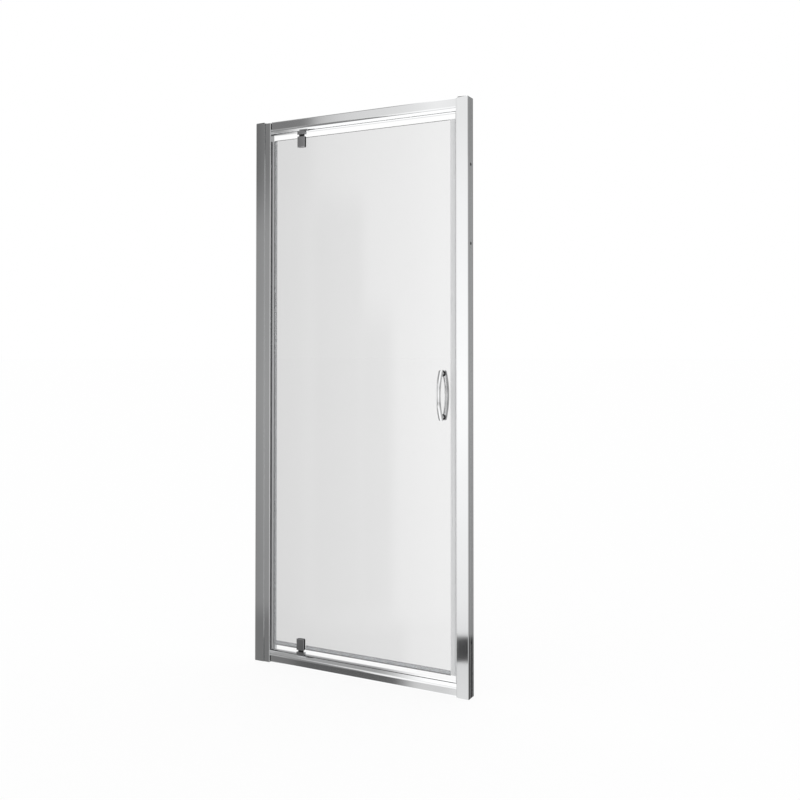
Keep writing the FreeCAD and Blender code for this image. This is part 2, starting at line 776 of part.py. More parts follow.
def open_below(end, outline):
    """A gasket's outline: the plate's own, open from below round the hub."""
    middle = f"{HINGE_WAY[end]} * hub_aside"
    left = f"{middle} - hub_width / 2 - notch_gap"
    right = f"{middle} + hub_width / 2 + notch_gap"
    top = "clamp_start + hub_tall + notch_gap"
    low = outline[0][1]
    return [outline[0], (left, low), (left, top), (right, top), (right, low)] + outline[1:]


def clamp_gaskets(end, where, turn):
    """The two rubber sheets between the clamp plates and the glass, open round the hub."""
    sheets = []
    for name, near, far, outline in (
        ("outer", "-clamp_inner", "-glass / 2", clamp_face("(clamp_bevel + gasket_inset)")),
        ("inner", "glass / 2", "clamp_inner", clamp_back_face(end, "gasket_inset")),
    ):
        body = new_body(f"clamp_gasket_{name}_{end}", where, turn, node=False)
        pad(body, "XZ", open_below(end, outline), near, far)
        sheets.append(body)
    bundle = doc.addObject("Part::Compound", f"clamp_gaskets_{end}")
    bundle.Links = sheets
    NODES.append(bundle)


def pivot_screws():
    """Screws of the pivot blocks and of the clamps, all driven from inside the shower."""
    plate_screw = screw_pattern("plate_screw_pattern", "plate_screw_radius", "plate_screw_length",
                                "lock_head_radius", "lock_head")
    clamp_screw = screw_pattern("clamp_screw_pattern", "clamp_screw_radius",
                                "(clamp_rear + clamp_screw_grip - screw_end_gap)", "lock_head_radius",
                                "lock_head")
    block_spots = []
    clamp_spots = []
    for face, into in (("rail_tall", 1), ("top_rail_face", -1)):
        for drop in plate_screw_drops():
            spot = ("pivot_x - arm_middle", "arm_rear", f"{face} - {into} * {drop}")
            block_spots.append((spot, TIP_TO_FRONT))
        for up in clamp_screw_heights():
            spot = ("pivot_x - hub_aside", "clamp_rear", f"{face} + {into} * ({up})")
            clamp_spots.append((spot, TIP_TO_FRONT))
    group("pivot_block_screws", plate_screw, block_spots)
    group("clamp_screws", clamp_screw, clamp_spots)


# ---------------------------------------------------------------- glass leaf and seals
def glass_panel():
    """The toughened pane, notched for the two hubs and drilled for the handles."""
    body = new_body("glass_panel", ("0", "0", "0"))
    half = "glass / 2"
    pad(body, "XZ", rectangle("glass_left", "glass_bottom", "glass_right", "glass_top"), f"-{half}", half)
    wide = "(hub_width / 2 + notch_gap)"
    deep = "clamp_start + hub_tall + notch_gap"
    left, right = f"pivot_x - hub_aside - {wide}", f"pivot_x - hub_aside + {wide}"
    pocket(body, "XZ", rectangle(left, "glass_bottom", right, f"rail_tall + {deep}"), f"-{half}", half)
    pocket(body, "XZ", rectangle(left, f"top_rail_face - ({deep})", right, "glass_top"), f"-{half}", half)
    holes = [("handle_x", f"handle_middle + {sign} * foot_up") for sign in (-1, 1)]
    drill(body, "XZ", holes, "glass_hole_radius", f"-{half}", half)
    return body


def hinge_edge_seal():
    """The clear strip on the pane's hinge edge; it reaches down past the glass to the rail."""
    body = new_body("hinge_edge_seal", ("0", "0", "0"))
    bottom_of_u = "glass_left - seal_fit"
    web = f"{bottom_of_u} - seal_wall"
    nose = f"{web} - hinge_seal_nose"
    pad(body, "XY", [
        (nose, "-hinge_seal_nose_half"), (web, "-seal_outer"), ("hinge_seal_end", "-seal_outer"),
        ("hinge_seal_end", "-seal_inner"), (bottom_of_u, "-seal_inner"), (bottom_of_u, "seal_inner"),
        ("hinge_seal_end", "seal_inner"), ("hinge_seal_end", "seal_outer"), (web, "seal_outer"),
        (nose, "hinge_seal_nose_half"),
    ], "rail_tall + hinge_seal_above_rail", "glass_top - hinge_seal_below_top")
    return body


def door_magnetic_seal():
    """The strip on the pane's latch edge, with a chamber for its magnet."""
    body = new_body("door_magnetic_seal", ("0", "0", "0"))
    bottom_of_u = "glass_right + seal_fit"
    nose = "glass_right + latch_seal_nose"
    pad(body, "XY", [
        ("latch_seal_end", "-seal_outer"), (nose, "-seal_outer"), (nose, "seal_outer"),
        ("latch_seal_end", "seal_outer"), ("latch_seal_end", "seal_inner"), (bottom_of_u, "seal_inner"),
        (bottom_of_u, "-seal_inner"), ("latch_seal_end", "-seal_inner"),
    ], "glass_bottom", "glass_top")
    chamber = rectangle(f"{bottom_of_u} + seal_wall", "-seal_inner", f"{nose} - seal_wall", "seal_inner")
    pocket(body, "XY", chamber, "glass_bottom", "glass_top")
    return body


def door_magnet_strip():
    """The magnet in the door's strip."""
    body = new_body("door_magnet_strip", ("0", "0", "0"))
    low = "glass_right + seal_fit + seal_wall + magnet_fit"
    high = "glass_right + latch_seal_nose - seal_wall - magnet_fit"
    half = "(seal_inner - magnet_fit)"
    pad(body, "XY", rectangle(low, f"-{half}", high, half), "glass_bottom", "glass_top")
    return body


def frame_magnetic_seal():
    """The strip on the latch post that the door's strip closes against."""
    body = new_body("frame_magnetic_seal", ("0", "0", "0"))
    nose = "latch_face - frame_seal_deep"
    root = "latch_face + post_wall"
    foot = f"{root} + frame_seal_foot_wall"
    half, neck, wide = "frame_seal_half", "frame_seal_neck", "frame_seal_foot"
    pad(body, "XY", [
        (nose, f"-{half}"), ("latch_face", f"-{half}"), ("latch_face", f"-{neck}"), (root, f"-{neck}"),
        (root, f"-{wide}"), (foot, f"-{wide}"), (foot, wide), (root, wide), (root, neck),
        ("latch_face", neck), ("latch_face", half), (nose, half),
    ], "rail_tall", "top_rail_face")
    chamber = rectangle(f"{nose} + seal_wall", f"-{half} + seal_wall",
                        "latch_face - seal_wall", f"{half} - seal_wall")
    pocket(body, "XY", chamber, "rail_tall", "top_rail_face")
    return body


def frame_magnet_strip():
    """The magnet in the frame's strip."""
    body = new_body("frame_magnet_strip", ("0", "0", "0"))
    wall = "seal_wall + magnet_fit"
    low, high = f"latch_face - frame_seal_deep + {wall}", f"latch_face - ({wall})"
    half = f"(frame_seal_half - ({wall}))"
    pad(body, "XY", rectangle(low, f"-{half}", high, half), "rail_tall", "top_rail_face")
    return body


def drip_seal(label, low, high):
    """A clear strip over the pane's bottom edge, beside the clamp."""
    body = new_body(label, ("0", "0", "0"))
    top = "glass_bottom + drip_seal_grip"
    seat = "glass_bottom - seal_fit"
    pad(body, "YZ", [
        ("-seal_outer", f"{seat} - seal_wall"), ("seal_outer", f"{seat} - seal_wall"),
        ("seal_outer", top), ("seal_inner", top), ("seal_inner", seat), ("-seal_inner", seat),
        ("-seal_inner", top), ("-seal_outer", top),
    ], low, high)
    return body


# ---------------------------------------------------------------- handles
def primitive(kind, name, sizes, where, turn=None):
    """A plain Part solid with its sizes and place bound to formulas."""
    solid = doc.addObject(f"Part::{kind}", name)
    for prop, formula in sizes.items():
        bind(solid, prop, formula)
    place(solid, where, turn)
    return solid


def boolean(kind, name, base, tool):
    result = doc.addObject(f"Part::{kind}", name)
    result.Base = base
    result.Tool = tool
    doc.recompute()
    return result


ALONG_X = ((0, 1, 0), 90.0)
ALONG_Y = ((1, 0, 0), -90.0)


def draw_ellipse(sketch, centre, wide, thick):
    """A level ellipse by its middle, width and thickness."""
    middle = FreeCAD.Vector(value(centre[0]), value(centre[1]), 0)
    side = middle + FreeCAD.Vector(value(wide) / 2, 0, 0)
    crest = middle + FreeCAD.Vector(0, value(thick) / 2, 0)
    piece = sketch.addGeometry(Part.Ellipse(side, crest, middle))
    sketch.exposeInternalGeometry(piece)
    major, minor = piece + 1, piece + 2
    pin_point(sketch, piece, 3, centre)
    sketch.addConstraint(Sketcher.Constraint("Horizontal", major))
    for line, formula in ((major, wide), (minor, thick)):
        row = sketch.addConstraint(Sketcher.Constraint("Distance", line, value(formula)))
        bind(sketch, f"Constraints[{row}]", formula)


def bow(label):
    """The handle's curved bar about the handle's middle, bulging towards -Y."""
    body = new_body(f"{label}_bar", ("0", "bow_crest + bow_radius", "0"), node=False)
    sketch = plane_sketch(body, "XY", "0")
    draw_ellipse(sketch, ("0", "-bow_radius"), "handle_width", "handle_thick")
    bend = body.newObject("PartDesign::Revolution", f"{label}_bend")
    bend.Profile = sketch
    bend.ReferenceAxis = (sketch, ["H_Axis"])
    bend.Midplane = True
    bind(bend, "Angle", "2 * bow_angle")
    doc.recompute()
    shape = body
    for sign, tilt in ((1, "bow_angle"), (-1, "180 deg - bow_angle")):
        end = primitive("Ellipsoid", f"{label}_end", {
            "Radius1": "handle_end_round", "Radius2": "handle_width / 2", "Radius3": "handle_thick / 2",
        }, ("0", "bow_crest + handle_rise", f"{sign} * bow_half"), ((-1, 0, 0), value(tilt)))
        bind(end, "Placement.Rotation.Angle", tilt)
        end.Angle1 = 0.0
        shape = boolean("Fuse", f"{label}_with_end", shape, end)
    return shape


def handle(label, turn, with_grub_screws):
    """One bow with its two feet, each bored for the stud that comes through the glass."""
    shape = bow(label)
    inside = primitive("Cylinder", f"{label}_foot_limit",
                       {"Radius": "bow_radius", "Height": "4 * handle_width"},
                       ("-2 * handle_width", "bow_crest + bow_radius", "0"), ALONG_X)
    for sign in (-1, 1):
        height = f"{sign} * foot_up"
        foot = primitive("Cylinder", f"{label}_foot", {"Radius": "foot_radius", "Height": "handle_reach"},
                         ("0", "-handle_reach - foot_start", height), ALONG_Y)
        trimmed = boolean("Common", f"{label}_foot_trimmed", foot, inside)
        shape = boolean("Fuse", f"{label}_fused", shape, trimmed)
    for sign in (-1, 1):
        height = f"{sign} * foot_up"
        hole = primitive("Cylinder", f"{label}_stud_hole",
                         {"Radius": "stud_radius + screw_fit", "Height": "stud_hole_end"},
                         ("0", "-stud_hole_end", height), ALONG_Y)
        shape = boolean("Cut", f"{label}_bored", shape, hole)
        if with_grub_screws:
            grub = primitive("Cylinder", f"{label}_grub_hole",
                             {"Radius": "grub_radius + screw_fit", "Height": "foot_radius"},
                             ("0", "-grub_out", f"{height} - foot_radius"))
            shape = boolean("Cut", f"{label}_grub_bored", shape, grub)
    node = doc.addObject("Part::Compound", label)
    copy = doc.addObject("App::Link", f"{label}_copy")
    copy.LinkedObject = shape
    place(copy, ("handle_x", "0", "handle_middle"), turn)
    node.Links = [copy]
    NODES.append(node)
    doc.recompute()


def ring(label, inner, outer, length):
    """A round sleeve along Z from zero, as a pattern for copies."""
    body = new_body(label, node=False)
    turned(body, [(inner, "0"), (outer, "0"), (outer, length), (inner, length)])
    return body


def handle_fixings():
    """Washers, sleeves, studs and grub screws of the pair of handles."""
    bore = "stud_radius + screw_fit"
    washer_ring = ring("washer_pattern", bore, "washer_radius", "washer")
    sleeve_ring = ring("sleeve_pattern", bore, "glass_hole_radius - sleeve_fit", "glass")
    stud = new_body("stud_pattern", node=False)
    reach = "(foot_start + stud_in_foot)"
    turned(stud, rectangle("0", f"-{reach}", "stud_radius", reach))
    grub = new_body("grub_pattern", node=False)
    turned(grub, rectangle("0", "0", "grub_radius", "grub_length"))
    heights = [f"handle_middle + {sign} * foot_up" for sign in (-1, 1)]
    washer_spots = []
    for height in heights:
        for near in ("-foot_start", "glass / 2"):
            washer_spots.append((("handle_x", near, height), ALONG_Y))
    group("handle_washers", washer_ring, washer_spots)
    for label, pattern, near in (("handle_sleeves", sleeve_ring, "-glass / 2"), ("handle_studs", stud, "0")):
        group(label, pattern, [(("handle_x", near, height), ALONG_Y) for height in heights])
    grub_low = "stud_radius + grub_length + press_fit_gap"
    group("handle_grub_screws", grub,
          [(("handle_x", "grub_out", f"{height} - ({grub_low})"), NO_TURN) for height in heights])


# ---------------------------------------------------------------- the whole door
def build():
    for side in SIDES:
        wall_channel(side)
        channel_cap(side)
    post("hinge_post", "left", "hinge_face")
    seal_slot(post("latch_post", "right", "latch_face"))
    post_plug("hinge_post_plug", "left", "hinge_face")
    post_plug("latch_post_plug", "right", "latch_face")
    rail("bottom_rail", "0", 1, "rail_tall")
    rail("top_rail", "frame_height", -1, "top_rail_tall")
    corner_joints()
    lock_screws()
    for end, where, turn in pivot_ends():
        pivot_block(end, where, turn)
        pivot_bush(end, where, turn)
        pivot_pin(end, where, turn)
        clamp_front(end, where, turn)
        clamp_cover(end, where, turn)
        clamp_back(end, where, turn)
        clamp_gaskets(end, where, turn)
    pivot_screws()
    glass_panel()
    hinge_edge_seal()
    door_magnetic_seal()
    door_magnet_strip()
    frame_magnetic_seal()
    frame_magnet_strip()
    drip_seal("drip_seal_hinge_side", "hinge_seal_end + drip_seal_end_gap",
              "pivot_x - clamp_width / 2 - drip_seal_end_gap")
    drip_seal("drip_seal_latch_side", "pivot_x + clamp_width / 2 + drip_seal_end_gap",
              "latch_seal_end - drip_seal_end_gap")
    handle("handle_outer", NO_TURN, False)
    handle("handle_inner", HALF_TURN, True)
    handle_fixings()
    doc.recompute()


def check_and_write():
    """Stop at any failed feature or bad solid; otherwise write each piece."""
    for thing in doc.Objects:
        if "Invalid" in thing.State or "Error" in thing.State:
            raise RuntimeError(f"{thing.Name} failed: {thing.State}")
    os.makedirs("parts", exist_ok=True)
    for node in NODES:
        shape = node.Shape
        if shape.isNull() or not shape.isValid() or not shape.Solids:
            raise RuntimeError(f"{node.Label} has no valid solid")
        shape.exportStep(f"parts/{node.Label}.step")
        box = shape.BoundBox
        print(f"{node.Label:26s} solids {len(shape.Solids)}  volume {shape.Volume / 1000:9.2f} cm3  "
              f"X {box.XMin:8.2f} {box.XMax:8.2f}  Y {box.YMin:7.2f} {box.YMax:7.2f}  "
              f"Z {box.ZMin:8.2f} {box.ZMax:8.2f}")
    print(len(NODES), "nodes")


build()
check_and_write()
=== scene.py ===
import json
import math

import bmesh
import bpy
from mathutils import Matrix, Vector


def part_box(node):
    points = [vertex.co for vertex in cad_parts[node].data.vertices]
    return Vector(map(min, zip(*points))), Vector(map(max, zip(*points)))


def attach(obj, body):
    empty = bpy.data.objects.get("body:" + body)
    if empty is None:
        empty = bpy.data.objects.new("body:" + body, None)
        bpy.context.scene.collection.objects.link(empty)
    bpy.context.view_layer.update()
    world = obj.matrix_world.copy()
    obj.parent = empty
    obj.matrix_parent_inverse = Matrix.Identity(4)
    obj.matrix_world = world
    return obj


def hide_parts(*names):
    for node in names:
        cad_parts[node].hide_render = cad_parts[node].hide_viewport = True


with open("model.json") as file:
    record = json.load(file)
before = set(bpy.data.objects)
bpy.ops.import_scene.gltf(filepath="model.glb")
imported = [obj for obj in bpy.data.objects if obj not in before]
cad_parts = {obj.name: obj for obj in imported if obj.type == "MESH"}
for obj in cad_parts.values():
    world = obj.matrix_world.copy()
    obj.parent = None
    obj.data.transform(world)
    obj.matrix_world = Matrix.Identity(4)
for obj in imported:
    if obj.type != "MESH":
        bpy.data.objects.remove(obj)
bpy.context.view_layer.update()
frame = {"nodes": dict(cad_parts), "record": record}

MM = 0.001
NODES = frame["nodes"]

# Sizes of the looks, in metres. Places come from the frame.
# edges
SHARP_EDGE = 0.35 * MM
END_CHAMFER = 0.25 * MM
RAIL_CHAMFER = 0.1 * MM
CAP_CHAMFER = 2.0 * MM
# wall channels
CHANNEL_WALL = 2.0 * MM
CHANNEL_CORNER = 2.5 * MM
GROOVE_PLACE = 7.0 * MM
GROOVE_WIDTH = 2.0 * MM
GROOVE_DEPTH = 0.5 * MM
LOCK_SLOT_HALF = 2.3 * MM
LOCK_SLOT_TRAVEL = 10.0 * MM
LOCK_SLOT_PLACE = 21.0 * MM
WALL_HOLE_RADIUS = 5.0 * MM
# posts and rails
POST_WALL = 2.0 * MM
POST_CORNER = 2.0 * MM
POST_STEP_BACK = 12.0 * MM
POST_STEP_PLACE = 6.0 * MM
RAIL_ROUND = 18.0 * MM
RAIL_EDGE = 3.0 * MM
# eased edges of cast, moulded and pressed pieces
BLOCK_EASE = 0.6 * MM
BUSH_EASE = 0.3 * MM
CLAMP_EASE = 0.3 * MM
BACK_PLATE_EASE = 0.2 * MM
# Faces that turn less than this become one, and edges that turn more than the next are eased.
FLAT_BELOW = math.radians(1)
EASED_ABOVE = math.radians(25)
# covers of the clamps
COVER_CORNER = 2.0 * MM
COVER_BEVEL = 1.3 * MM
COVER_REAR_CHAMFER = 0.05 * MM
# glass leaf
GLASS_CHAMFER = 1.0 * MM
GLASS_CORNER = 1.5 * MM
NOTCH_HALF = 5.5 * MM
NOTCH_CORNER = 4.0 * MM
NOTCH_UP = 31.0 * MM
HANDLE_HOLE_RADIUS = 6.0 * MM
# seals
SEAL_WALL = 1.2 * MM
SEAL_EDGE = 0.3 * MM
SEAL_GAP = 0.1 * MM
HINGE_SEAL_TIP_HALF = 2.0 * MM
FRAME_SEAL_NECK_HALF = 1.7 * MM
FRAME_SEAL_FOOT_HALF = 3.5 * MM
# handles
HANDLE_WIDE = 16.0 * MM
HANDLE_THICK = 8.0 * MM
BOW_HALF = 74.0 * MM
BOW_RISE = 19.0 * MM
BOW_RADIUS = (BOW_HALF ** 2 + BOW_RISE ** 2) / (2 * BOW_RISE)
BOW_END = 6.0 * MM
FOOT_RADIUS = 7.8 * MM
FOOT_EASE = 0.6 * MM
WASHER_BORE = 3.05 * MM
WASHER_EASE = 0.2 * MM
# screw heads
SCREW_SHANK = 2.0 * MM
HEAD_TALL = 2.4 * MM
CROSS_HALF = 0.45 * MM
CROSS_DEEP = 1.4 * MM

# The handle's foot beside the bow, as a share of its radius.
FOOT_WAIST = 0.93
# The screw's tip as a share of its shank, its head's rim as a share of the head's height, and
# the cross recess as a share of the head's radius.
SCREW_TIP = 0.6
HEAD_RIM = 0.35
CROSS_REACH = 0.55

# Steps along the handle's bow, over each of its ends and round its section.
BOW_STEPS = 64
TIP_STEPS = 8
RING_POINTS = 40
# Steps over a screw's domed head.
DOME_STEPS = 8
# Steps in a quarter turn of a rounded corner, as a rule, on seals and on rails.
CORNER_STEPS = 8
SEAL_STEPS = 4
RAIL_STEPS = 40


# ------------------------------------------------------------------ mesh tools
def rounded(corners, steps=CORNER_STEPS):
    """A closed 2-D loop from corners given as (u, v, radius)."""
    loop = []
    count = len(corners)
    for i, (u, v, radius) in enumerate(corners):
        here = Vector((u, v))
        before = (Vector(corners[i - 1][:2]) - here).normalized()
        after = (Vector(corners[(i + 1) % count][:2]) - here).normalized()
        opening = before.angle(after)
        if radius <= 0 or abs(opening - math.pi) < 1e-3:
            loop.append(here)
            continue
        run = radius / math.tan(opening / 2)
        middle = here + (before + after).normalized() * radius / math.sin(opening / 2)
        start = here + before * run - middle
        turn = math.pi - opening
        side = 1 if before.cross(after) < 0 else -1
        pieces = max(2, round(steps * turn / (math.pi / 2)))
        for k in range(pieces + 1):
            angle = side * turn * k / pieces
            c, s = math.cos(angle), math.sin(angle)
            loop.append(middle + Vector((start.x * c - start.y * s, start.x * s + start.y * c)))
    return loop


def area_of(loop):
    """The area inside a loop, positive where it runs counter-clockwise."""
    return sum(a.cross(b) for a, b in zip(loop, loop[1:] + loop[:1])) / 2


def counter_clockwise(loop):
    """The same loop, turned round where it runs clockwise."""
    return loop if area_of(loop) > 0 else loop[::-1]


def moved_in(loop, amount):
    """A counter-clockwise loop with each point moved inwards."""
    result = []
    count = len(loop)
    for i, point in enumerate(loop):
        ahead = (loop[(i + 1) % count] - point).normalized()
        behind = (point - loop[i - 1]).normalized()
        normal = Vector((-(ahead.y + behind.y), ahead.x + behind.x)).normalized()
        result.append(point + normal * amount)
    return result


def circle(centre, radius, steps=48):
    """A closed round loop."""
    spots = [2 * math.pi * k / steps for k in range(steps)]
    return [Vector((centre[0] + radius * math.cos(a), centre[1] + radius * math.sin(a))) for a in spots]


# From a profile's (u, v) and the way along an axis to (x, y, z).
PLACE = {
    "X": lambda u, v, w: (w, u, v),
    "Y": lambda u, v, w: (u, w, v),
    "Z": lambda u, v, w: (u, v, w),
}


def object_of(mesh, name):
    """A mesh as an object in the scene."""
    thing = bpy.data.objects.new(name, mesh)
    bpy.context.scene.collection.objects.link(thing)
    return thing


def mesh_object(bm, name):
    """A built shape as an object, its double points merged and its faces turned outwards."""
    bmesh.ops.remove_doubles(bm, verts=bm.verts, dist=1e-7)
    bmesh.ops.recalc_face_normals(bm, faces=bm.faces)
    mesh = bpy.data.meshes.new(name)
    bm.to_mesh(mesh)
    bm.free()
    return object_of(mesh, name)


def extrusion(name, outer, axis, low, high, holes=(), chamfer=END_CHAMFER, high_chamfer=None):
    """A profile with small chamfers at both ends; holes run right through it."""
    far = high_chamfer or chamfer
    bm = bmesh.new()
    place = PLACE[axis]
    ends = {low: [], high: []}
    for number, loop in enumerate([outer, *holes]):
        loop = counter_clockwise(loop)
        side = 1 if number == 0 else -1
        rings = []
        for ring, at in ((moved_in(loop, side * chamfer), low), (loop, low + chamfer), (loop, high - far),
                         (moved_in(loop, side * far), high)):
            rings.append([bm.verts.new(place(p.x, p.y, at)) for p in ring])
        for first, second in zip(rings, rings[1:]):
            for i in range(len(first)):
                bm.faces.new((first[i - 1], first[i], second[i], second[i - 1]))
        for ring, at in ((rings[0], low), (rings[-1], high)):
            for i in range(len(ring)):
                ends[at].append(bm.edges.get((ring[i - 1], ring[i])))
    for edges in ends.values():
        bmesh.ops.triangle_fill(bm, use_beauty=True, use_dissolve=False, edges=edges)
    return mesh_object(bm, name)


def lathe(name, profile, steps=48):
    """A round piece about Z from a profile of (radius, height) points."""
    bm = bmesh.new()
    rings = []
    for radius, height in profile:
        if radius < 1e-7:
            rings.append([bm.verts.new((0, 0, height))])
            continue
        angles = [2 * math.pi * k / steps for k in range(steps)]
        rings.append([bm.verts.new((radius * math.cos(a), radius * math.sin(a), height)) for a in angles])
    for first, second in zip(rings, rings[1:]):
        for i in range(steps):
            if len(first) == 1:
                corners = [first[0], second[i], second[i - 1]]
            elif len(second) == 1:
                corners = [first[i - 1], first[i], second[0]]
            else:
                corners = [first[i - 1], first[i], second[i], second[i - 1]]
            bm.faces.new(corners)
    return mesh_object(bm, name)


def apply_modifiers(thing):
    """Turn the modified shape into the object's own mesh."""
    shape = bpy.data.meshes.new_from_object(thing.evaluated_get(bpy.context.evaluated_depsgraph_get()))
    thing.modifiers.clear()
    thing.data = shape


def cut(thing, cutters):
    """Take the cutters out of the shape, and delete them."""
    for cutter in cutters:
        modifier = thing.modifiers.new("cut", "BOOLEAN")
        modifier.operation = "DIFFERENCE"
        modifier.solver = "EXACT"
        modifier.object = cutter
    bpy.context.view_layer.update()
    apply_modifiers(thing)
    for cutter in cutters:
        bpy.data.objects.remove(cutter)


def joined(name, things):
    """One object in the place of several."""
    bm = bmesh.new()
    for thing in things:
        part = bmesh.new()
        part.from_mesh(thing.data)
        part.transform(thing.matrix_world)
        scrap = bpy.data.meshes.new("scrap")
        part.to_mesh(scrap)
        part.free()
        bm.from_mesh(scrap)
        bpy.data.meshes.remove(scrap)
        bpy.data.objects.remove(thing)
    mesh = bpy.data.meshes.new(name)
    bm.to_mesh(mesh)
    bm.free()
    return object_of(mesh, name)


def smooth(thing, sharp_from=32):
    """Smooth shading that keeps flats flat and hard edges hard."""
    thing.data.shade_smooth()
    thing.data.set_sharp_from_angle(angle=math.radians(sharp_from))
    weighted = thing.modifiers.new("flat faces stay flat", "WEIGHTED_NORMAL")
    weighted.keep_sharp = True
    weighted.weight = 100


def islands(node):
    """(low, high) corners of each separate solid of a CAD node, lowest first."""
    bm = bmesh.new()
    bm.from_mesh(NODES[node].data)
    bmesh.ops.remove_doubles(bm, verts=bm.verts, dist=1e-6)
    left = set(bm.verts)
    found = []
    while left:
        stack = [left.pop()]
        points = []
        while stack:
            vertex = stack.pop()
            points.append(vertex.co.copy())
            for edge in vertex.link_edges:
                other = edge.other_vert(vertex)
                if other in left:
                    left.discard(other)
                    stack.append(other)
        low = Vector([min(p[i] for p in points) for i in range(3)])
        high = Vector([max(p[i] for p in points) for i in range(3)])
        found.append((low, high))
    bm.free()
    return sorted(found, key=lambda pair: (round(pair[0].z, 4), pair[0].x, pair[0].y))


def dress(thing, node, body, material):
    """Put a piece on its body in the place of its CAD node."""
    thing.data.materials.clear()
    thing.data.materials.append(material)
    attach(thing, body)
    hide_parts(node)


# ------------------------------------------------------------------ materials
# How a noise is stretched along X, Y and Z: small numbers draw it out.
EVEN = (1, 1, 1)
DRAWN = (1, 1, 0.05)
UPRIGHT_LINES = (1, 1, 0.004)
LEVEL_LINES = (0.004, 1, 1)
# Scales of the noises.
EXTRUDED_LINES = 900.0
PLATING_GRAIN = 300.0
METAL_CLOUD = 9.0
SCREW_GRAIN = 700.0
MOULDED_GRAIN = 900.0
PLASTIC_CLOUD = 60.0
GLASS_CLOUD = 3.0
# The range that a noise mostly keeps to.
NOISE_RANGE = (0.3, 0.7)
METAL_GRAIN_DEPTH = 0.01 * MM
MOULDED_GRAIN_DEPTH = 0.03 * MM
# Painted light on the glass: its tint at the hinge side, then at the latch side, lighter towards the latch
# side where more light falls on it.
GLASS_PAINTED_SHADE_LEFT = (0.74, 0.74, 0.74)
GLASS_PAINTED_LIGHT_RIGHT = (0.86, 0.86, 0.86)
BRIGHT = [(0.87, 0.875, 0.88), (0.89, 0.895, 0.90)]
PLATING = [(0.86, 0.865, 0.87), (0.89, 0.895, 0.90)]
DARK_PLATING = [(0.58, 0.58, 0.59), (0.63, 0.63, 0.64)]


def new_material(name):
    """A new node material, its tree and its shader."""
    material = bpy.data.materials.new(name)
    material.use_nodes = True
    tree = material.node_tree
    return material, tree, tree.nodes["Principled BSDF"]


def add_node(tree, kind, **settings):
    """A new node; a setting named in_X goes to the input socket X."""
    node = tree.nodes.new(kind)
    for key, setting in settings.items():
        if key.startswith("in_"):
            node.inputs[key[3:].replace("_", " ")].default_value = setting
        else:
            setattr(node, key, setting)
    return node


def stretched_noise(tree, stretch, scale, detail=4.0):
    """Noise on the object's own place, stretched along its axes."""
    place = add_node(tree, "ShaderNodeTexCoord")
    mapping = add_node(tree, "ShaderNodeMapping")
    mapping.inputs["Scale"].default_value = stretch
    noise = add_node(tree, "ShaderNodeTexNoise", in_Scale=scale, in_Detail=detail)
    tree.links.new(place.outputs["Object"], mapping.inputs["Vector"])
    tree.links.new(mapping.outputs["Vector"], noise.inputs["Vector"])
    return noise.outputs["Fac"]


def spread(tree, factor, low, high):
    """Map a noise to a range of values."""
    mapped = add_node(tree, "ShaderNodeMapRange")
    mapped.inputs["From Min"].default_value = NOISE_RANGE[0]
    mapped.inputs["From Max"].default_value = NOISE_RANGE[1]
    mapped.inputs["To Min"].default_value = low
    mapped.inputs["To Max"].default_value = high
    tree.links.new(factor, mapped.inputs["Value"])
    return mapped.outputs["Result"]


def blend_colours(tree, factor, first, second):
    """A mix of two colours."""
    mixed = add_node(tree, "ShaderNodeMix", data_type="RGBA")
    mixed.inputs["A"].default_value = (*first, 1)
    mixed.inputs["B"].default_value = (*second, 1)
    tree.links.new(factor, mixed.inputs["Factor"])
    return mixed.outputs["Result"]


def add_bump(tree, shader, factor, distance, strength):
    """Raise the surface a little by a noise."""
    bump = add_node(tree, "ShaderNodeBump")
    bump.inputs["Strength"].default_value = strength
    bump.inputs["Distance"].default_value = distance
    tree.links.new(factor, bump.inputs["Height"])
    tree.links.new(bump.outputs["Normal"], shader.inputs["Normal"])


def polished_metal(name, stretch, scale, low, high, rough, grain):
    """Bright metal: faint lines or grain, and soft cloudiness."""
    material, tree, shader = new_material(name)
    shader.inputs["Metallic"].default_value = 1.0
    lines = stretched_noise(tree, stretch, scale, 3.0)
    cloud = stretched_noise(tree, EVEN, METAL_CLOUD)
    tree.links.new(blend_colours(tree, cloud, low, high), shader.inputs["Base Color"])
    tree.links.new(spread(tree, cloud, rough, rough * 1.5), shader.inputs["Roughness"])
    add_bump(tree, shader, lines, METAL_GRAIN_DEPTH, grain)
    return material


def brushed_screw():
    """Stainless steel with a fine brushed grain."""
    material, tree, shader = new_material("screw_steel")
    shader.inputs["Metallic"].default_value = 1.0
    grain = stretched_noise(tree, EVEN, SCREW_GRAIN)
    colour = blend_colours(tree, grain, (0.55, 0.55, 0.56), (0.70, 0.70, 0.71))
    tree.links.new(colour, shader.inputs["Base Color"])
    tree.links.new(spread(tree, grain, 0.22, 0.38), shader.inputs["Roughness"])
    return material


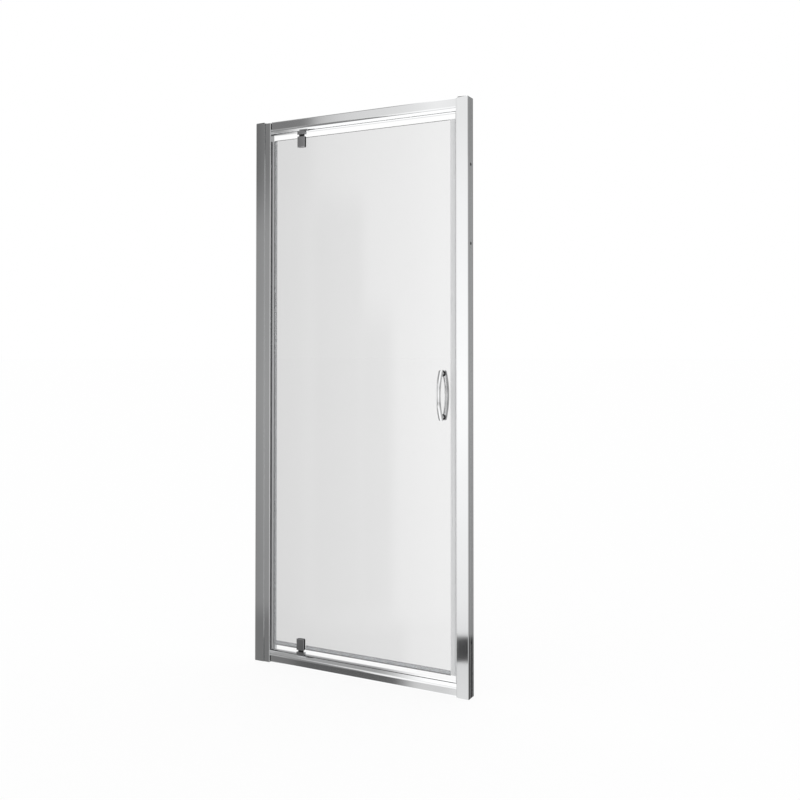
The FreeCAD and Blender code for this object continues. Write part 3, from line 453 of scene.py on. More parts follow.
def clear_glass():
    """Toughened glass of a neutral grey, with painted light: its tint is darker at the hinge side and
    lighter towards the latch side.
    """
    material, tree, shader = new_material("toughened_glass")
    shader.inputs["Transmission Weight"].default_value = 1.0
    shader.inputs["IOR"].default_value = 1.5
    shader.inputs["Roughness"].default_value = 0.0
    place = add_node(tree, "ShaderNodeTexCoord")
    parts = add_node(tree, "ShaderNodeSeparateXYZ")
    tree.links.new(place.outputs["Object"], parts.inputs[0])
    # Painted light: the tint grows lighter from the hinge side to the latch side, standing in for the
    # brighter light on the glass there.
    across = add_node(tree, "ShaderNodeMapRange")
    low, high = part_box("glass_panel")
    across.inputs["From Min"].default_value = low.x
    across.inputs["From Max"].default_value = high.x
    tree.links.new(parts.outputs["X"], across.inputs["Value"])
    shade = blend_colours(tree, across.outputs["Result"], GLASS_PAINTED_SHADE_LEFT, GLASS_PAINTED_LIGHT_RIGHT)
    cloud = spread(tree, stretched_noise(tree, EVEN, GLASS_CLOUD), 0.995, 1.005)
    toned = add_node(tree, "ShaderNodeVectorMath", operation="SCALE")
    tree.links.new(shade, toned.inputs[0])
    tree.links.new(cloud, toned.inputs["Scale"])
    tree.links.new(toned.outputs[0], shader.inputs["Base Color"])
    return material


def clear_plastic(name, low, high, transmission, rough, stretch=DRAWN):
    """Clear or milky material with a slight cloudiness along its length."""
    material, tree, shader = new_material(name)
    shader.inputs["Transmission Weight"].default_value = transmission
    shader.inputs["IOR"].default_value = 1.45
    cloud = stretched_noise(tree, stretch, PLASTIC_CLOUD)
    tree.links.new(blend_colours(tree, cloud, low, high), shader.inputs["Base Color"])
    tree.links.new(spread(tree, cloud, rough, rough * 1.3), shader.inputs["Roughness"])
    return material


def moulded(name, low, high, rough, gloss=0.5):
    """Moulded plastic or rubber with a fine grain."""
    material, tree, shader = new_material(name)
    shader.inputs["Specular IOR Level"].default_value = gloss
    grain = stretched_noise(tree, EVEN, MOULDED_GRAIN)
    tree.links.new(blend_colours(tree, grain, low, high), shader.inputs["Base Color"])
    tree.links.new(spread(tree, grain, rough, rough + 0.12), shader.inputs["Roughness"])
    add_bump(tree, shader, grain, MOULDED_GRAIN_DEPTH, 0.3)
    return material


UPRIGHT = polished_metal("extruded_chrome_upright", UPRIGHT_LINES, EXTRUDED_LINES, *BRIGHT,
                         rough=0.028, grain=0.05)
LEVEL = polished_metal("extruded_chrome_level", LEVEL_LINES, EXTRUDED_LINES, *BRIGHT,
                       rough=0.045, grain=0.10)
CHROME = polished_metal("bright_plating", EVEN, PLATING_GRAIN, *PLATING, rough=0.04, grain=0.05)
PLATED = polished_metal("dark_plating", EVEN, PLATING_GRAIN, *DARK_PLATING, rough=0.07, grain=0.10)
STEEL = brushed_screw()
GLASS = clear_glass()
GLASS_EDGE = clear_plastic("glass_edge", (0.05, 0.052, 0.052), (0.08, 0.082, 0.082), 0.5, 0.10, EVEN)
CLEAR_PVC = clear_plastic("clear_pvc", (0.80, 0.81, 0.82), (0.84, 0.85, 0.86), 0.85, 0.12)
PVC_EDGE = clear_plastic("pvc_edge", (0.09, 0.09, 0.095), (0.14, 0.14, 0.145), 0.3, 0.20)
HINGE_EDGE = clear_plastic("hinge_strip_edge", (0.30, 0.30, 0.31), (0.38, 0.38, 0.39), 0.4, 0.20)
GREY_PVC = clear_plastic("grey_pvc", (0.80, 0.805, 0.81), (0.84, 0.845, 0.85), 0.15, 0.25)
RUBBER = moulded("gasket_rubber", (0.020, 0.020, 0.021), (0.045, 0.045, 0.047), 0.6)
NYLON = moulded("dark_nylon", (0.004, 0.004, 0.0045), (0.009, 0.009, 0.010), 0.5, gloss=0.25)


def edge_material(thing, material, is_edge):
    """Give a second material to the faces whose normal passes a test."""
    thing.data.materials.append(material)
    for face in thing.data.polygons:
        face.material_index = int(is_edge(face.normal))


# ------------------------------------------------------------------ wall channels
def channel_outline(web, lip, front, rear, out):
    """The U-section with its two grooves, web side at web, open side at lip."""
    inside = web - out * CHANNEL_WALL
    corners = [
        (web, front, CHANNEL_CORNER), (lip, front, SHARP_EDGE),
        (lip, front + CHANNEL_WALL, SHARP_EDGE), (inside, front + CHANNEL_WALL, SHARP_EDGE),
        (inside, rear - CHANNEL_WALL, SHARP_EDGE), (lip, rear - CHANNEL_WALL, SHARP_EDGE),
        (lip, rear, SHARP_EDGE), (web, rear, CHANNEL_CORNER),
    ]
    floor = web - out * GROOVE_DEPTH
    for middle in (GROOVE_PLACE, -GROOVE_PLACE):
        near, far = middle + GROOVE_WIDTH / 2, middle - GROOVE_WIDTH / 2
        corners += [(web, near, GROOVE_DEPTH / 2), (floor, near, 0), (floor, far, 0),
                    (web, far, GROOVE_DEPTH / 2)]
    return rounded(corners)


def channel_cutters(side, web, rear, out):
    """The slots for the lock screws in the rear flange, and the holes to the wall in the web."""
    cutters = []
    reach = LOCK_SLOT_TRAVEL + LOCK_SLOT_HALF
    near, far = (web - out * LOCK_SLOT_PLACE + way * reach for way in (-1, 1))
    for place_low, place_high in islands(f"channel_lock_screws_{side}"):
        height = (place_low.z + place_high.z) / 2
        under, over = height - LOCK_SLOT_HALF, height + LOCK_SLOT_HALF
        slot = rounded([(near, under, LOCK_SLOT_HALF), (far, under, LOCK_SLOT_HALF),
                        (far, over, LOCK_SLOT_HALF), (near, over, LOCK_SLOT_HALF)])
        cutters.append(extrusion("cutter", slot, "Y", rear - 2 * CHANNEL_WALL, rear + CHANNEL_WALL))
    for height in wall_hole_heights(side):
        hole = circle((0, height), WALL_HOLE_RADIUS)
        cutters.append(extrusion("cutter", hole, "X", web - 2 * CHANNEL_WALL, web + 2 * CHANNEL_WALL))
    return cutters


def wall_channel(side):
    """The U-section channel: rounded outside corners, grooves in its web, slots at the rear."""
    node = f"wall_channel_{side}"
    low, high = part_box(node)
    out = -1 if side == "left" else 1
    web, lip = (low.x, high.x) if out < 0 else (high.x, low.x)
    outline = channel_outline(web, lip, low.y, high.y, out)
    channel = extrusion(node + "_body", outline, "Z", low.z, high.z)
    cut(channel, channel_cutters(side, web, high.y, out))
    smooth(channel)
    dress(channel, node, f"{side}_channel", UPRIGHT)


def wall_hole_heights(side):
    """Heights of the holes to the wall, from the record's mounts."""
    heights = []
    for mount in frame["record"]["mounts"]:
        if mount["name"] == f"wall_{side}_upper":
            half = mount["dims"]["spacing_y_mm"] * MM / 2
            heights += [mount["pos_m"][2] - half, mount["pos_m"][2] + half]
        if mount["name"] == f"wall_{side}_lower":
            heights.append(mount["pos_m"][2])
    return heights


def channel_cap(side):
    """The plated cap on the channel's top, with its edges eased."""
    node = f"channel_cap_{side}"
    low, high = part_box(node)
    thickness = high.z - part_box(f"wall_channel_{side}")[1].z
    out = -1 if side == "left" else 1
    outer, inner = (low.x, high.x) if out < 0 else (high.x, low.x)
    corners = [(outer, low.y, CHANNEL_CORNER), (inner, low.y, SHARP_EDGE),
               (inner, high.y, SHARP_EDGE), (outer, high.y, CHANNEL_CORNER)]
    plate = extrusion(node + "_plate", rounded(corners), "Z", high.z - thickness, high.z,
                      high_chamfer=CAP_CHAMFER)
    smooth(plate)
    dress(plate, node, f"{side}_channel", CHROME)


# ------------------------------------------------------------------ frame
def post_corners(face, outer, half, corner, inset=0.0):
    """The stepped section of a post, door side at face, hidden side at outer."""
    away = 1 if outer > face else -1
    inner = face + away * inset
    stepped = face + away * (POST_STEP_BACK + inset)
    hidden = outer - away * inset
    step = POST_STEP_PLACE - inset
    edge = SHARP_EDGE
    return [
        (hidden, inset - half, edge), (inner, inset - half, corner), (inner, step, corner),
        (stepped, step, edge), (stepped, half - inset, edge), (hidden, half - inset, edge),
    ]


def post(node, at_left):
    """The hollow post and the cover of its plug."""
    low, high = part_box(node)
    face, outer = (high.x, low.x) if at_left else (low.x, high.x)
    outline = rounded(post_corners(face, outer, high.y, POST_CORNER))
    hollow = rounded(post_corners(face, outer, high.y, SHARP_EDGE, POST_WALL))
    piece = extrusion(node + "_tube", outline, "Z", low.z, high.z, holes=[hollow])
    smooth(piece)
    dress(piece, node, "frame", UPRIGHT)
    plug_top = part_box(node + "_plug")[1].z
    plate = extrusion(node + "_cover", outline, "Z", high.z, plug_top)
    smooth(plate)
    dress(plate, node + "_plug", "frame", CHROME)


def rail(node, up):
    """The rail, its front edge beside the glass well rounded."""
    low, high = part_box(node)
    outside = low.z if up > 0 else high.z
    inside = high.z if up > 0 else low.z
    outline = rounded([
        (low.y, outside, RAIL_EDGE), (low.y, inside, RAIL_ROUND),
        (high.y, inside, SHARP_EDGE), (high.y, outside, SHARP_EDGE),
    ], steps=RAIL_STEPS)
    piece = extrusion(node + "_section", outline, "X", low.x, high.x, chamfer=RAIL_CHAMFER)
    smooth(piece)
    dress(piece, node, "frame", LEVEL)


def eased_node(node, body, material, width):
    """A CAD piece whose edges are eased, as a cast or pressed piece has them."""
    mesh = NODES[node].data.copy()
    bm = bmesh.new()
    bm.from_mesh(mesh)
    bmesh.ops.remove_doubles(bm, verts=bm.verts, dist=1e-6)
    bmesh.ops.dissolve_limit(bm, angle_limit=FLAT_BELOW, verts=bm.verts, edges=bm.edges)
    bm.to_mesh(mesh)
    bm.free()
    piece = object_of(mesh, node + "_eased")
    bevel = piece.modifiers.new("eased edges", "BEVEL")
    bevel.width = width
    bevel.segments = 3
    bevel.limit_method = "ANGLE"
    bevel.angle_limit = EASED_ABOVE
    apply_modifiers(piece)
    smooth(piece, sharp_from=40)
    dress(piece, node, body, material)


def clamp_cover(node):
    """The plated cover on the clamp's face, its front edge bevelled all round."""
    low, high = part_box(node)
    outline = rounded([(low.x, low.z, COVER_CORNER), (high.x, low.z, COVER_CORNER),
                       (high.x, high.z, COVER_CORNER), (low.x, high.z, COVER_CORNER)])
    plate = extrusion(node + "_plate", outline, "Y", low.y, high.y, chamfer=COVER_BEVEL,
                      high_chamfer=COVER_REAR_CHAMFER)
    smooth(plate)
    dress(plate, node, "door", PLATED)


# ------------------------------------------------------------------ glass and seals
def glass_pane():
    """The pane, with polished chamfers, rounded notches and drilled holes."""
    low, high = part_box("glass_panel")
    plate_low, plate_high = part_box("clamp_back_bottom")
    axis_x = (plate_low.x + plate_high.x) / 2
    near, far = axis_x - NOTCH_HALF, axis_x + NOTCH_HALF
    notch_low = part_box("clamp_cover_bottom")[0].z + NOTCH_UP
    notch_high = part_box("clamp_cover_top")[1].z - NOTCH_UP
    edge, tight = GLASS_CORNER, NOTCH_CORNER
    outline = rounded([
        (low.x, low.z, edge), (near, low.z, edge), (near, notch_low, tight), (far, notch_low, tight),
        (far, low.z, edge), (high.x, low.z, edge), (high.x, high.z, edge), (far, high.z, edge),
        (far, notch_high, tight), (near, notch_high, tight), (near, high.z, edge), (low.x, high.z, edge),
    ])
    holes = []
    for hole_low, hole_high in islands("handle_sleeves"):
        middle = (hole_low + hole_high) / 2
        holes.append(circle((middle.x, middle.z), HANDLE_HOLE_RADIUS))
    pane = extrusion("glass_pane", outline, "Y", low.y, high.y, holes=holes, chamfer=GLASS_CHAMFER)
    smooth(pane)
    dress(pane, "glass_panel", "door", GLASS)
    edge_material(pane, GLASS_EDGE, lambda normal: abs(normal.y) < 0.9)


def hinge_seal():
    """The strip on the hinge edge, with a blunt tip towards the post."""
    low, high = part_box("hinge_edge_seal")
    seat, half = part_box("glass_panel")[0].x - SEAL_GAP, high.y
    root, inner = seat - SEAL_WALL, half - SEAL_WALL
    tip, edge = HINGE_SEAL_TIP_HALF, SEAL_EDGE
    outline = rounded([
        (low.x, -tip, edge), (root, -half, edge), (high.x, -half, edge), (high.x, -inner, edge),
        (seat, -inner, 0), (seat, inner, 0), (high.x, inner, edge), (high.x, half, edge),
        (root, half, edge), (low.x, tip, edge),
    ], steps=SEAL_STEPS)
    seal = extrusion("hinge_edge_strip", outline, "Z", low.z, high.z)
    smooth(seal)
    dress(seal, "hinge_edge_seal", "door", CLEAR_PVC)
    edge_material(seal, HINGE_EDGE, lambda normal: abs(normal.x) > 0.5)


def latch_seal():
    """The strip on the latch edge, with the chamber that holds its magnet."""
    low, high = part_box("door_magnetic_seal")
    seat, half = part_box("glass_panel")[1].x + SEAL_GAP, high.y
    inner, edge = half - SEAL_WALL, SEAL_EDGE
    outline = rounded([
        (low.x, -half, edge), (high.x, -half, 2 * edge), (high.x, half, 2 * edge), (low.x, half, edge),
        (low.x, inner, edge), (seat, inner, 0), (seat, -inner, 0), (low.x, -inner, edge),
    ], steps=SEAL_STEPS)
    near, far = seat + SEAL_WALL, high.x - SEAL_WALL
    chamber = rounded([(near, -inner, edge), (far, -inner, edge), (far, inner, edge), (near, inner, edge)],
                      steps=SEAL_STEPS)
    seal = extrusion("door_magnetic_strip", outline, "Z", low.z, high.z, holes=[chamber])
    smooth(seal)
    dress(seal, "door_magnetic_seal", "door", GREY_PVC)


def frame_seal():
    """The strip on the latch post, whose foot is held behind the post's wall."""
    low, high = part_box("frame_magnetic_seal")
    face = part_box("latch_post")[0].x
    root, half = face + POST_WALL, high.y
    neck, foot, edge = FRAME_SEAL_NECK_HALF, FRAME_SEAL_FOOT_HALF, SEAL_EDGE
    outline = rounded([
        (low.x, -half, 2 * edge), (face, -half, edge), (face, -neck, 0), (root, -neck, 0),
        (root, -foot, edge), (high.x, -foot, edge), (high.x, foot, edge), (root, foot, edge),
        (root, neck, 0), (face, neck, 0), (face, half, edge), (low.x, half, 2 * edge),
    ], steps=SEAL_STEPS)
    seal = extrusion("frame_magnetic_strip", outline, "Z", low.z, high.z)
    smooth(seal)
    dress(seal, "frame_magnetic_seal", "frame", GREY_PVC)


def drip_seal(node):
    """A U-section strip over the bottom edge of the glass."""
    low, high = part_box(node)
    seat, half, edge = low.z + SEAL_WALL, high.y, SEAL_EDGE
    inner = half - SEAL_WALL
    outline = rounded([
        (-half, low.z, 2 * edge), (half, low.z, 2 * edge), (half, high.z, edge), (inner, high.z, edge),
        (inner, seat, 0), (-inner, seat, 0), (-inner, high.z, edge), (-half, high.z, edge),
    ], steps=SEAL_STEPS)
    seal = extrusion(node + "_strip", outline, "X", low.x, high.x)
    smooth(seal)
    dress(seal, node, "door", CLEAR_PVC)
    edge_material(seal, PVC_EDGE, lambda normal: abs(normal.z) > 0.5)


# ------------------------------------------------------------------ handles
def handle_bow(name, top):
    """A bow of elliptical section with rounded ends, whose middle line rises to top along Y."""
    wide, thick = HANDLE_WIDE / 2, HANDLE_THICK / 2
    sweep = math.asin(BOW_HALF / BOW_RADIUS)
    stations = [(sweep * (2 * i / BOW_STEPS - 1), 0.0) for i in range(BOW_STEPS + 1)]
    tips = [math.pi / 2 * k / TIP_STEPS for k in range(1, TIP_STEPS + 1)]
    stations = [(-sweep, -t) for t in reversed(tips)] + stations + [(sweep, t) for t in tips]
    bm = bmesh.new()
    rings = []
    for angle, tip in stations:
        out_of_end = BOW_END * math.sin(tip)
        size = math.cos(tip)
        along = BOW_RADIUS * math.sin(angle) + out_of_end * math.cos(angle)
        centre = top - BOW_RADIUS * (1 - math.cos(angle)) - abs(out_of_end) * abs(math.sin(angle))
        ring = []
        for k in range(RING_POINTS):
            turn = 2 * math.pi * k / RING_POINTS
            u, v = wide * size * math.cos(turn), thick * size * math.sin(turn)
            ring.append(bm.verts.new((u, centre + v * math.cos(angle), along + v * math.sin(angle))))
        rings.append(ring)
    for first, second in zip(rings, rings[1:]):
        for k in range(len(first)):
            bm.faces.new((first[k - 1], first[k], second[k], second[k - 1]))
    return mesh_object(bm, name)


def handle_foot(length):
    """A round foot that narrows from the washer to the bow."""
    waist = FOOT_RADIUS * FOOT_WAIST
    return lathe("foot", [(0, 0), (FOOT_RADIUS - FOOT_EASE, 0), (FOOT_RADIUS, FOOT_EASE),
                          (waist, length / 2), (waist, length), (0, length)])


def handle(node, out):
    """A bow on two feet; out is the way it bulges in Y."""
    low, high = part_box(node)
    middle = (low + high) / 2
    reach = high.y if out > 0 else -low.y
    top = reach - HANDLE_THICK / 2
    bow = handle_bow(node + "_bow", top)
    bow.data.transform(Matrix.Translation((middle.x, 0, middle.z)))
    if out < 0:
        bow.data.transform(Matrix.Scale(-1, 4, (0, 1, 0)))
        bow.data.flip_normals()
    feet = []
    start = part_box("handle_washers")[1].y
    for ring_low, ring_high in islands("handle_sleeves"):
        height = (ring_low.z + ring_high.z) / 2
        from_middle = height - middle.z
        foot = handle_foot(top - BOW_RADIUS + math.sqrt(BOW_RADIUS ** 2 - from_middle ** 2) - start)
        turn = Matrix.Rotation(-out * math.pi / 2, 4, "X")
        foot.data.transform(Matrix.Translation((middle.x, out * start, height)) @ turn)
        feet.append(foot)
    whole = joined(node + "_pull", [bow, *feet])
    smooth(whole, sharp_from=50)
    dress(whole, node, "door", CHROME)


def washers():
    """The washers under the handles' feet, their rims eased."""
    rings = []
    for low, high in islands("handle_washers"):
        middle = (low + high) / 2
        thick, radius, bore, ease = high.y - low.y, (high.z - low.z) / 2, WASHER_BORE, WASHER_EASE
        ring = lathe("washer", [(bore, 0), (radius - ease, 0), (radius, ease), (radius, thick - ease),
                                (radius - ease, thick), (bore, thick), (bore, 0)])
        turn = Matrix.Rotation(-math.pi / 2, 4, "X")
        ring.data.transform(Matrix.Translation((middle.x, low.y, middle.z)) @ turn)
        rings.append(ring)
    whole = joined("handle_washer_rings", rings)
    smooth(whole)
    dress(whole, "handle_washers", "door", NYLON)


# ------------------------------------------------------------------ screws
def screw_heads(node, body):
    """Pan heads with a cross recess, driven towards -Y, in the places of a CAD node's solids."""
    heads = []
    for low, high in islands(node):
        middle = (low + high) / 2
        head_radius, shank, tall = (high.z - low.z) / 2, SCREW_SHANK, HEAD_TALL
        length = high.y - low.y - tall
        dome = [(head_radius * math.cos(a), tall * (HEAD_RIM + (1 - HEAD_RIM) * math.sin(a)))
                for a in (math.pi / 2 * k / DOME_STEPS for k in range(DOME_STEPS))]
        head = lathe("screw", [(0, -length), (shank * SCREW_TIP, -length), (shank, -length + shank),
                               (shank, 0), (head_radius, 0), *dome, (0, tall)], steps=40)
        arm, half, deep = head_radius * CROSS_REACH, CROSS_HALF, CROSS_DEEP
        cross = rounded([(half, half, 0), (half, arm, 0), (-half, arm, 0), (-half, half, 0), (-arm, half, 0),
                         (-arm, -half, 0), (-half, -half, 0), (-half, -arm, 0), (half, -arm, 0),
                         (half, -half, 0), (arm, -half, 0), (arm, half, 0)])
        cut(head, [extrusion("cutter", cross, "Z", tall - deep, tall + deep)])
        turn = Matrix.Rotation(-math.pi / 2, 4, "X")
        head.data.transform(Matrix.Translation((middle.x, high.y - tall, middle.z)) @ turn)
        heads.append(head)
    whole = joined(node + "_heads", heads)
    smooth(whole, sharp_from=35)
    dress(whole, node, body, STEEL)


def paint_hidden_nodes():
    """Pieces inside the assembly keep their CAD shape and get their material."""
    finishes = {
        "corner_blocks_bottom": NYLON, "corner_blocks_top": NYLON, "corner_screws": STEEL,
        "pivot_pin_bottom": STEEL, "pivot_pin_top": STEEL, "clamp_gaskets_bottom": RUBBER,
        "clamp_gaskets_top": RUBBER, "door_magnet_strip": RUBBER, "frame_magnet_strip": RUBBER,
        "handle_sleeves": CLEAR_PVC, "handle_studs": STEEL, "handle_grub_screws": STEEL,
    }
    for node, material in finishes.items():
        NODES[node].data.materials.clear()
        NODES[node].data.materials.append(material)


# ------------------------------------------------------------------ camera, floor and light
FOCAL_PIXELS = 938.5
IMAGE_PIXELS = 800
PRINCIPAL_ROW = 332
SENSOR = 36.0
CAMERA_PLACE = Vector((1.544, -2.666, 1.074))
CAMERA_YAW = math.radians(27.55)
CAMERA_PITCH = math.radians(0.94)
FLOOR_RADIUS = 90.0
FLOOR_SIDES = 96
FLOOR_COLOUR = (0.95, 0.95, 0.95, 1)
# The share of the floor's white that comes from its own glow; the rest takes the shadow.
FLOOR_GLOW = 0.88


def camera():
    """The view from outside, a little to the right, at half height."""
    level = math.cos(CAMERA_PITCH)
    ahead = Vector((-math.sin(CAMERA_YAW) * level, math.cos(CAMERA_YAW) * level, math.sin(CAMERA_PITCH)))
    right = Vector((math.cos(CAMERA_YAW), math.sin(CAMERA_YAW), 0))
    up = right.cross(ahead)
    data = bpy.data.cameras.new("camera")
    data.sensor_width = SENSOR
    data.lens = FOCAL_PIXELS / IMAGE_PIXELS * SENSOR
    data.shift_y = (PRINCIPAL_ROW - IMAGE_PIXELS / 2) / IMAGE_PIXELS
    data.clip_end = 100
    thing = bpy.data.objects.new("camera", data)
    turn = Matrix((right, up, -ahead)).transposed().to_4x4()
    thing.matrix_world = Matrix.Translation(CAMERA_PLACE) @ turn
    bpy.context.scene.collection.objects.link(thing)
    bpy.context.scene.camera = thing


def ramp(tree, factor, stops):
    """A grey ramp from (place, level) stops."""
    node = add_node(tree, "ShaderNodeValToRGB")
    points = node.color_ramp.elements
    points.remove(points[1])
    for number, (place, level) in enumerate(stops):
        point = points.new(place) if number else points[0]
        point.position = place
        point.color = (level, level, level, 1)
    tree.links.new(factor, node.inputs["Fac"])
    return node.outputs["Color"]


def calculate(tree, operation, first, second=None):
    """A sum done by the shader on sockets or plain numbers."""
    node = add_node(tree, "ShaderNodeMath", operation=operation)
    for socket, term in zip(node.inputs, (first, second)):
        if term is None:
            continue
        if isinstance(term, (int, float)):
            socket.default_value = term
        else:
            tree.links.new(term, socket)
    return node.outputs[0]


def mixed_shader(tree, factor, first, second):
    """The first shader where the factor is 0, the second where it is 1."""
    node = add_node(tree, "ShaderNodeMixShader")
    for socket, source in zip(node.inputs, (factor, first, second)):
        if isinstance(source, float):
            socket.default_value = source
        else:
            tree.links.new(source, socket)
    return node.outputs[0]


def seen_in_gloss(tree):
    """1 for what is seen as a reflection, 0 for what is seen straight or through glass."""
    path = add_node(tree, "ShaderNodeLightPath")
    return calculate(tree, "GREATER_THAN", path.outputs["Glossy Depth"], 0.5)


def floor():
    """A pale floor at the foot of the door. Reflections show the studio instead of it."""
    bm = bmesh.new()
    bmesh.ops.create_circle(bm, cap_ends=True, segments=FLOOR_SIDES, radius=FLOOR_RADIUS)
    thing = mesh_object(bm, "floor")
    material = bpy.data.materials.new("floor_white")
    material.use_nodes = True
    tree = material.node_tree
    tree.nodes.clear()
    path = add_node(tree, "ShaderNodeLightPath")
    matt = add_node(tree, "ShaderNodeBsdfDiffuse", in_Color=FLOOR_COLOUR).outputs[0]
    glow = add_node(tree, "ShaderNodeEmission", in_Strength=1.0).outputs[0]
    unseen = add_node(tree, "ShaderNodeBsdfTransparent").outputs[0]
    straight = calculate(tree, "MAXIMUM", path.outputs["Is Camera Ray"], path.outputs["Is Transmission Ray"])
    white = mixed_shader(tree, straight, matt, mixed_shader(tree, FLOOR_GLOW, matt, glow))
    output = add_node(tree, "ShaderNodeOutputMaterial")
    tree.links.new(mixed_shader(tree, seen_in_gloss(tree), white, unseen), output.inputs["Surface"])
    thing.data.materials.append(material)


def between(tree, factor, low, high, softness):
    """1 between two places with soft edges, 0 outside them."""
    edges = []
    for place in (low, high):
        edge = add_node(tree, "ShaderNodeMapRange", interpolation_type="SMOOTHSTEP")
        edge.inputs["From Min"].default_value = place - softness / 2
        edge.inputs["From Max"].default_value = place + softness / 2
        tree.links.new(factor, edge.inputs["Value"])
        edges.append(edge.outputs["Result"])
    return calculate(tree, "SUBTRACT", *edges)


# What reflections show round the door. Azimuths in degrees from straight in front (-Y),
# growing towards the hinge side (-X), then the light there.
AROUND = [
    (-180, 0.30), (-157, 0.33), (-147, 0.5), (-142, 0.45), (-137, 0.07), (-116, 0.07), (-108, 0.7),
    (-95, 0.9), (-75, 0.6), (-60, 0.5), (-25, 0.5), (-15, 0.7), (-5, 1.05), (0, 1.11), (24.1, 1.11),
    (25.4, 1.2), (26.5, 1.05), (28.8, 0.95), (31.3, 0.88), (32.2, 0.76), (33.3, 0.38), (35.3, 0.37),
    (36.7, 0.28), (38, 0.3), (41, 0.8), (60, 0.95), (143, 0.95), (150, 1.0), (162, 1.0), (172, 0.5),
    (180, 0.30),
]
# Elevations in degrees, then the share of that light.
UP_DOWN = [
    (-90, 1.0), (-35, 1.0), (-24, 0.8), (-19, 0.68), (-15, 0.82), (-3, 1.0), (9, 0.90), (14, 0.80),
    (22, 0.85), (30, 1.0), (90, 1.0),
]
# Soft-edged panels, each laid over the ones before it: azimuths, elevations and the direction's
# X as (from, to, softness of the edges), then the light.
ANY_X = (-2.0, 2.0, 0.1)
FAR_AROUND = (20.0, 165.0, 6.0)
FLOOR_ELEVATIONS = (-91.0, -24.0, 5.0)
CEILING_ELEVATIONS = (19.0, 91.0, 6.0)
PANELS = [
    ((24.5, 27.4, 0.5), (-22.0, -16.3, 1.0), ANY_X, 0.69),
    ((27.2, 34.2, 1.2), (-21.0, -16.3, 1.5), ANY_X, 0.12),
    ((34.2, 38.0, 0.5), (-21.0, -15.5, 1.5), ANY_X, 0.19),
    ((33.0, 38.0, 1.0), (9.0, 20.0, 5.0), ANY_X, 0.21),
    ((36.0, 38.0, 0.6), (9.0, 20.0, 5.0), ANY_X, 0.15),
    ((28.0, 30.0, 1.0), (-16.3, 2.0, 4.0), ANY_X, 0.22),
    ((29.8, 32.8, 1.0), (-16.3, 9.0, 3.0), ANY_X, 0.25),
    ((21.5, 24.45, 0.1), (-18.4, -17.0, 0.1), ANY_X, 0.055),
    ((-172.0, -150.0, 2.0), (-60.0, -17.0, 0.3), ANY_X, 0.05),
    ((-48.0, -25.0, 3.0), (11.5, 16.0, 1.0), ANY_X, 0.03),
    ((-48.0, -25.0, 3.0), (-23.0, -16.8, 1.0), ANY_X, 0.03),
    (FAR_AROUND, FLOOR_ELEVATIONS, ANY_X, 1.16),
    (FAR_AROUND, FLOOR_ELEVATIONS, (-2.0, -0.545, 0.03), 0.32),
    (FAR_AROUND, CEILING_ELEVATIONS, ANY_X, 1.16),
    (FAR_AROUND, CEILING_ELEVATIONS, (-2.0, -0.435, 0.05), 0.37),
    ((100.0, 125.0, 2.0), (42.0, 62.0, 4.0), (-2.0, -0.566, 0.006), 0.03),
]
# A ramp's levels end at 1, so every level above is kept as a share of this one.
TOP_LIGHT = 1.25


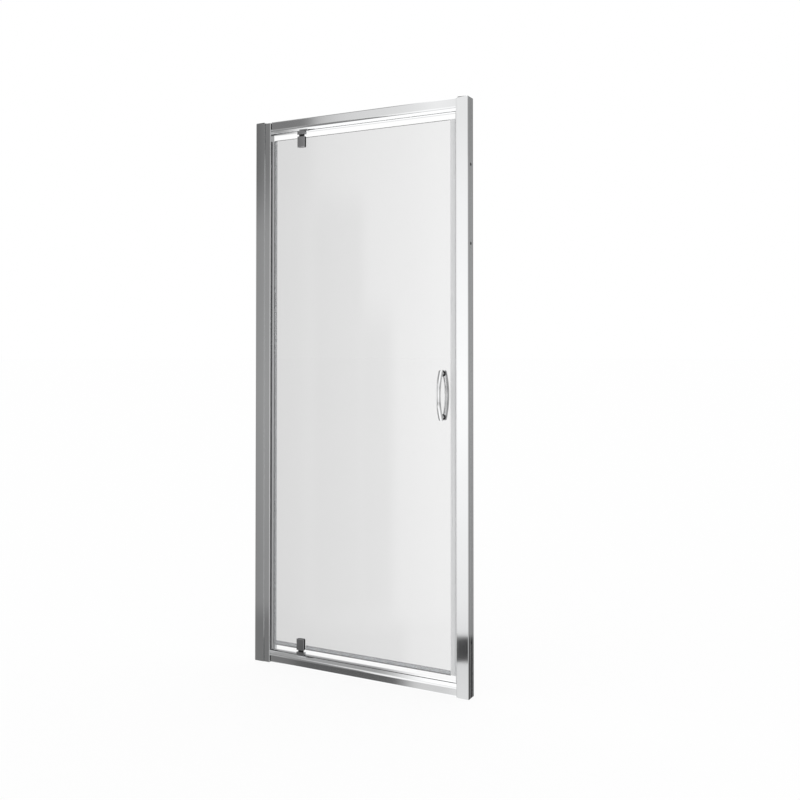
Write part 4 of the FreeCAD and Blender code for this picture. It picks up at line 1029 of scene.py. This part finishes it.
def studio_light(tree):
    """The panelled studio's light from each direction, as a share of the top level."""
    direction = add_node(tree, "ShaderNodeTexCoord").outputs["Generated"]
    parts = add_node(tree, "ShaderNodeSeparateXYZ")
    tree.links.new(direction, parts.inputs[0])
    x, y, z = parts.outputs
    forward = calculate(tree, "MULTIPLY", y, -1.0)
    left = calculate(tree, "MULTIPLY", x, -1.0)
    azimuth = calculate(tree, "DEGREES", calculate(tree, "ARCTAN2", left, forward))
    elevation = calculate(tree, "DEGREES", calculate(tree, "ARCSINE", z))
    turn = calculate(tree, "DIVIDE", calculate(tree, "ADD", azimuth, 180.0), 360.0)
    around = ramp(tree, turn, [((place + 180) / 360, level / TOP_LIGHT) for place, level in AROUND])
    tilt = calculate(tree, "DIVIDE", calculate(tree, "ADD", elevation, 90.0), 180.0)
    up_down = ramp(tree, tilt, [((place + 90) / 180, level) for place, level in UP_DOWN])
    light = calculate(tree, "MULTIPLY", around, up_down)
    for azimuths, elevations, x_range, level in PANELS:
        beside = between(tree, azimuth, *azimuths)
        above = between(tree, elevation, *elevations)
        aside = between(tree, x, *x_range)
        mask = calculate(tree, "MULTIPLY", calculate(tree, "MULTIPLY", beside, above), aside)
        panel = add_node(tree, "ShaderNodeMix", in_B=level / TOP_LIGHT)
        tree.links.new(mask, panel.inputs["Factor"])
        tree.links.new(light, panel.inputs["A"])
        light = panel.outputs["Result"]
    return light


def studio():
    """White all round for the eye and for matt surfaces; a panelled studio for reflections."""
    world = bpy.data.worlds.new("studio")
    bpy.context.scene.world = world
    world.use_nodes = True
    tree = world.node_tree
    tree.nodes.clear()
    panelled = add_node(tree, "ShaderNodeBackground", in_Strength=TOP_LIGHT)
    tree.links.new(studio_light(tree), panelled.inputs["Color"])
    plain = add_node(tree, "ShaderNodeBackground", in_Strength=1.0, in_Color=(1, 1, 1, 1))
    output = add_node(tree, "ShaderNodeOutputWorld")
    whole = mixed_shader(tree, seen_in_gloss(tree), plain.outputs[0], panelled.outputs[0])
    tree.links.new(whole, output.inputs["Surface"])


# ------------------------------------------------------------------ the whole picture
camera()
for side in ("left", "right"):
    wall_channel(side)
    channel_cap(side)
    screw_heads(f"channel_lock_screws_{side}", "frame")
post("hinge_post", True)
post("latch_post", False)
rail("bottom_rail", 1)
rail("top_rail", -1)
for end in ("bottom", "top"):
    eased_node(f"pivot_block_{end}", "frame", PLATED, BLOCK_EASE)
    eased_node(f"pivot_bush_{end}", "frame", NYLON, BUSH_EASE)
    eased_node(f"clamp_front_{end}", "door", NYLON, CLAMP_EASE)
    clamp_cover(f"clamp_cover_{end}")
    eased_node(f"clamp_back_{end}", "door", PLATED, BACK_PLATE_EASE)
glass_pane()
hinge_seal()
latch_seal()
frame_seal()
drip_seal("drip_seal_hinge_side")
drip_seal("drip_seal_latch_side")
handle("handle_outer", -1)
handle("handle_inner", 1)
washers()
screw_heads("pivot_block_screws", "frame")
screw_heads("clamp_screws", "door")
paint_hidden_nodes()
floor()
studio()
bpy.context.scene.view_settings.view_transform = "Standard"
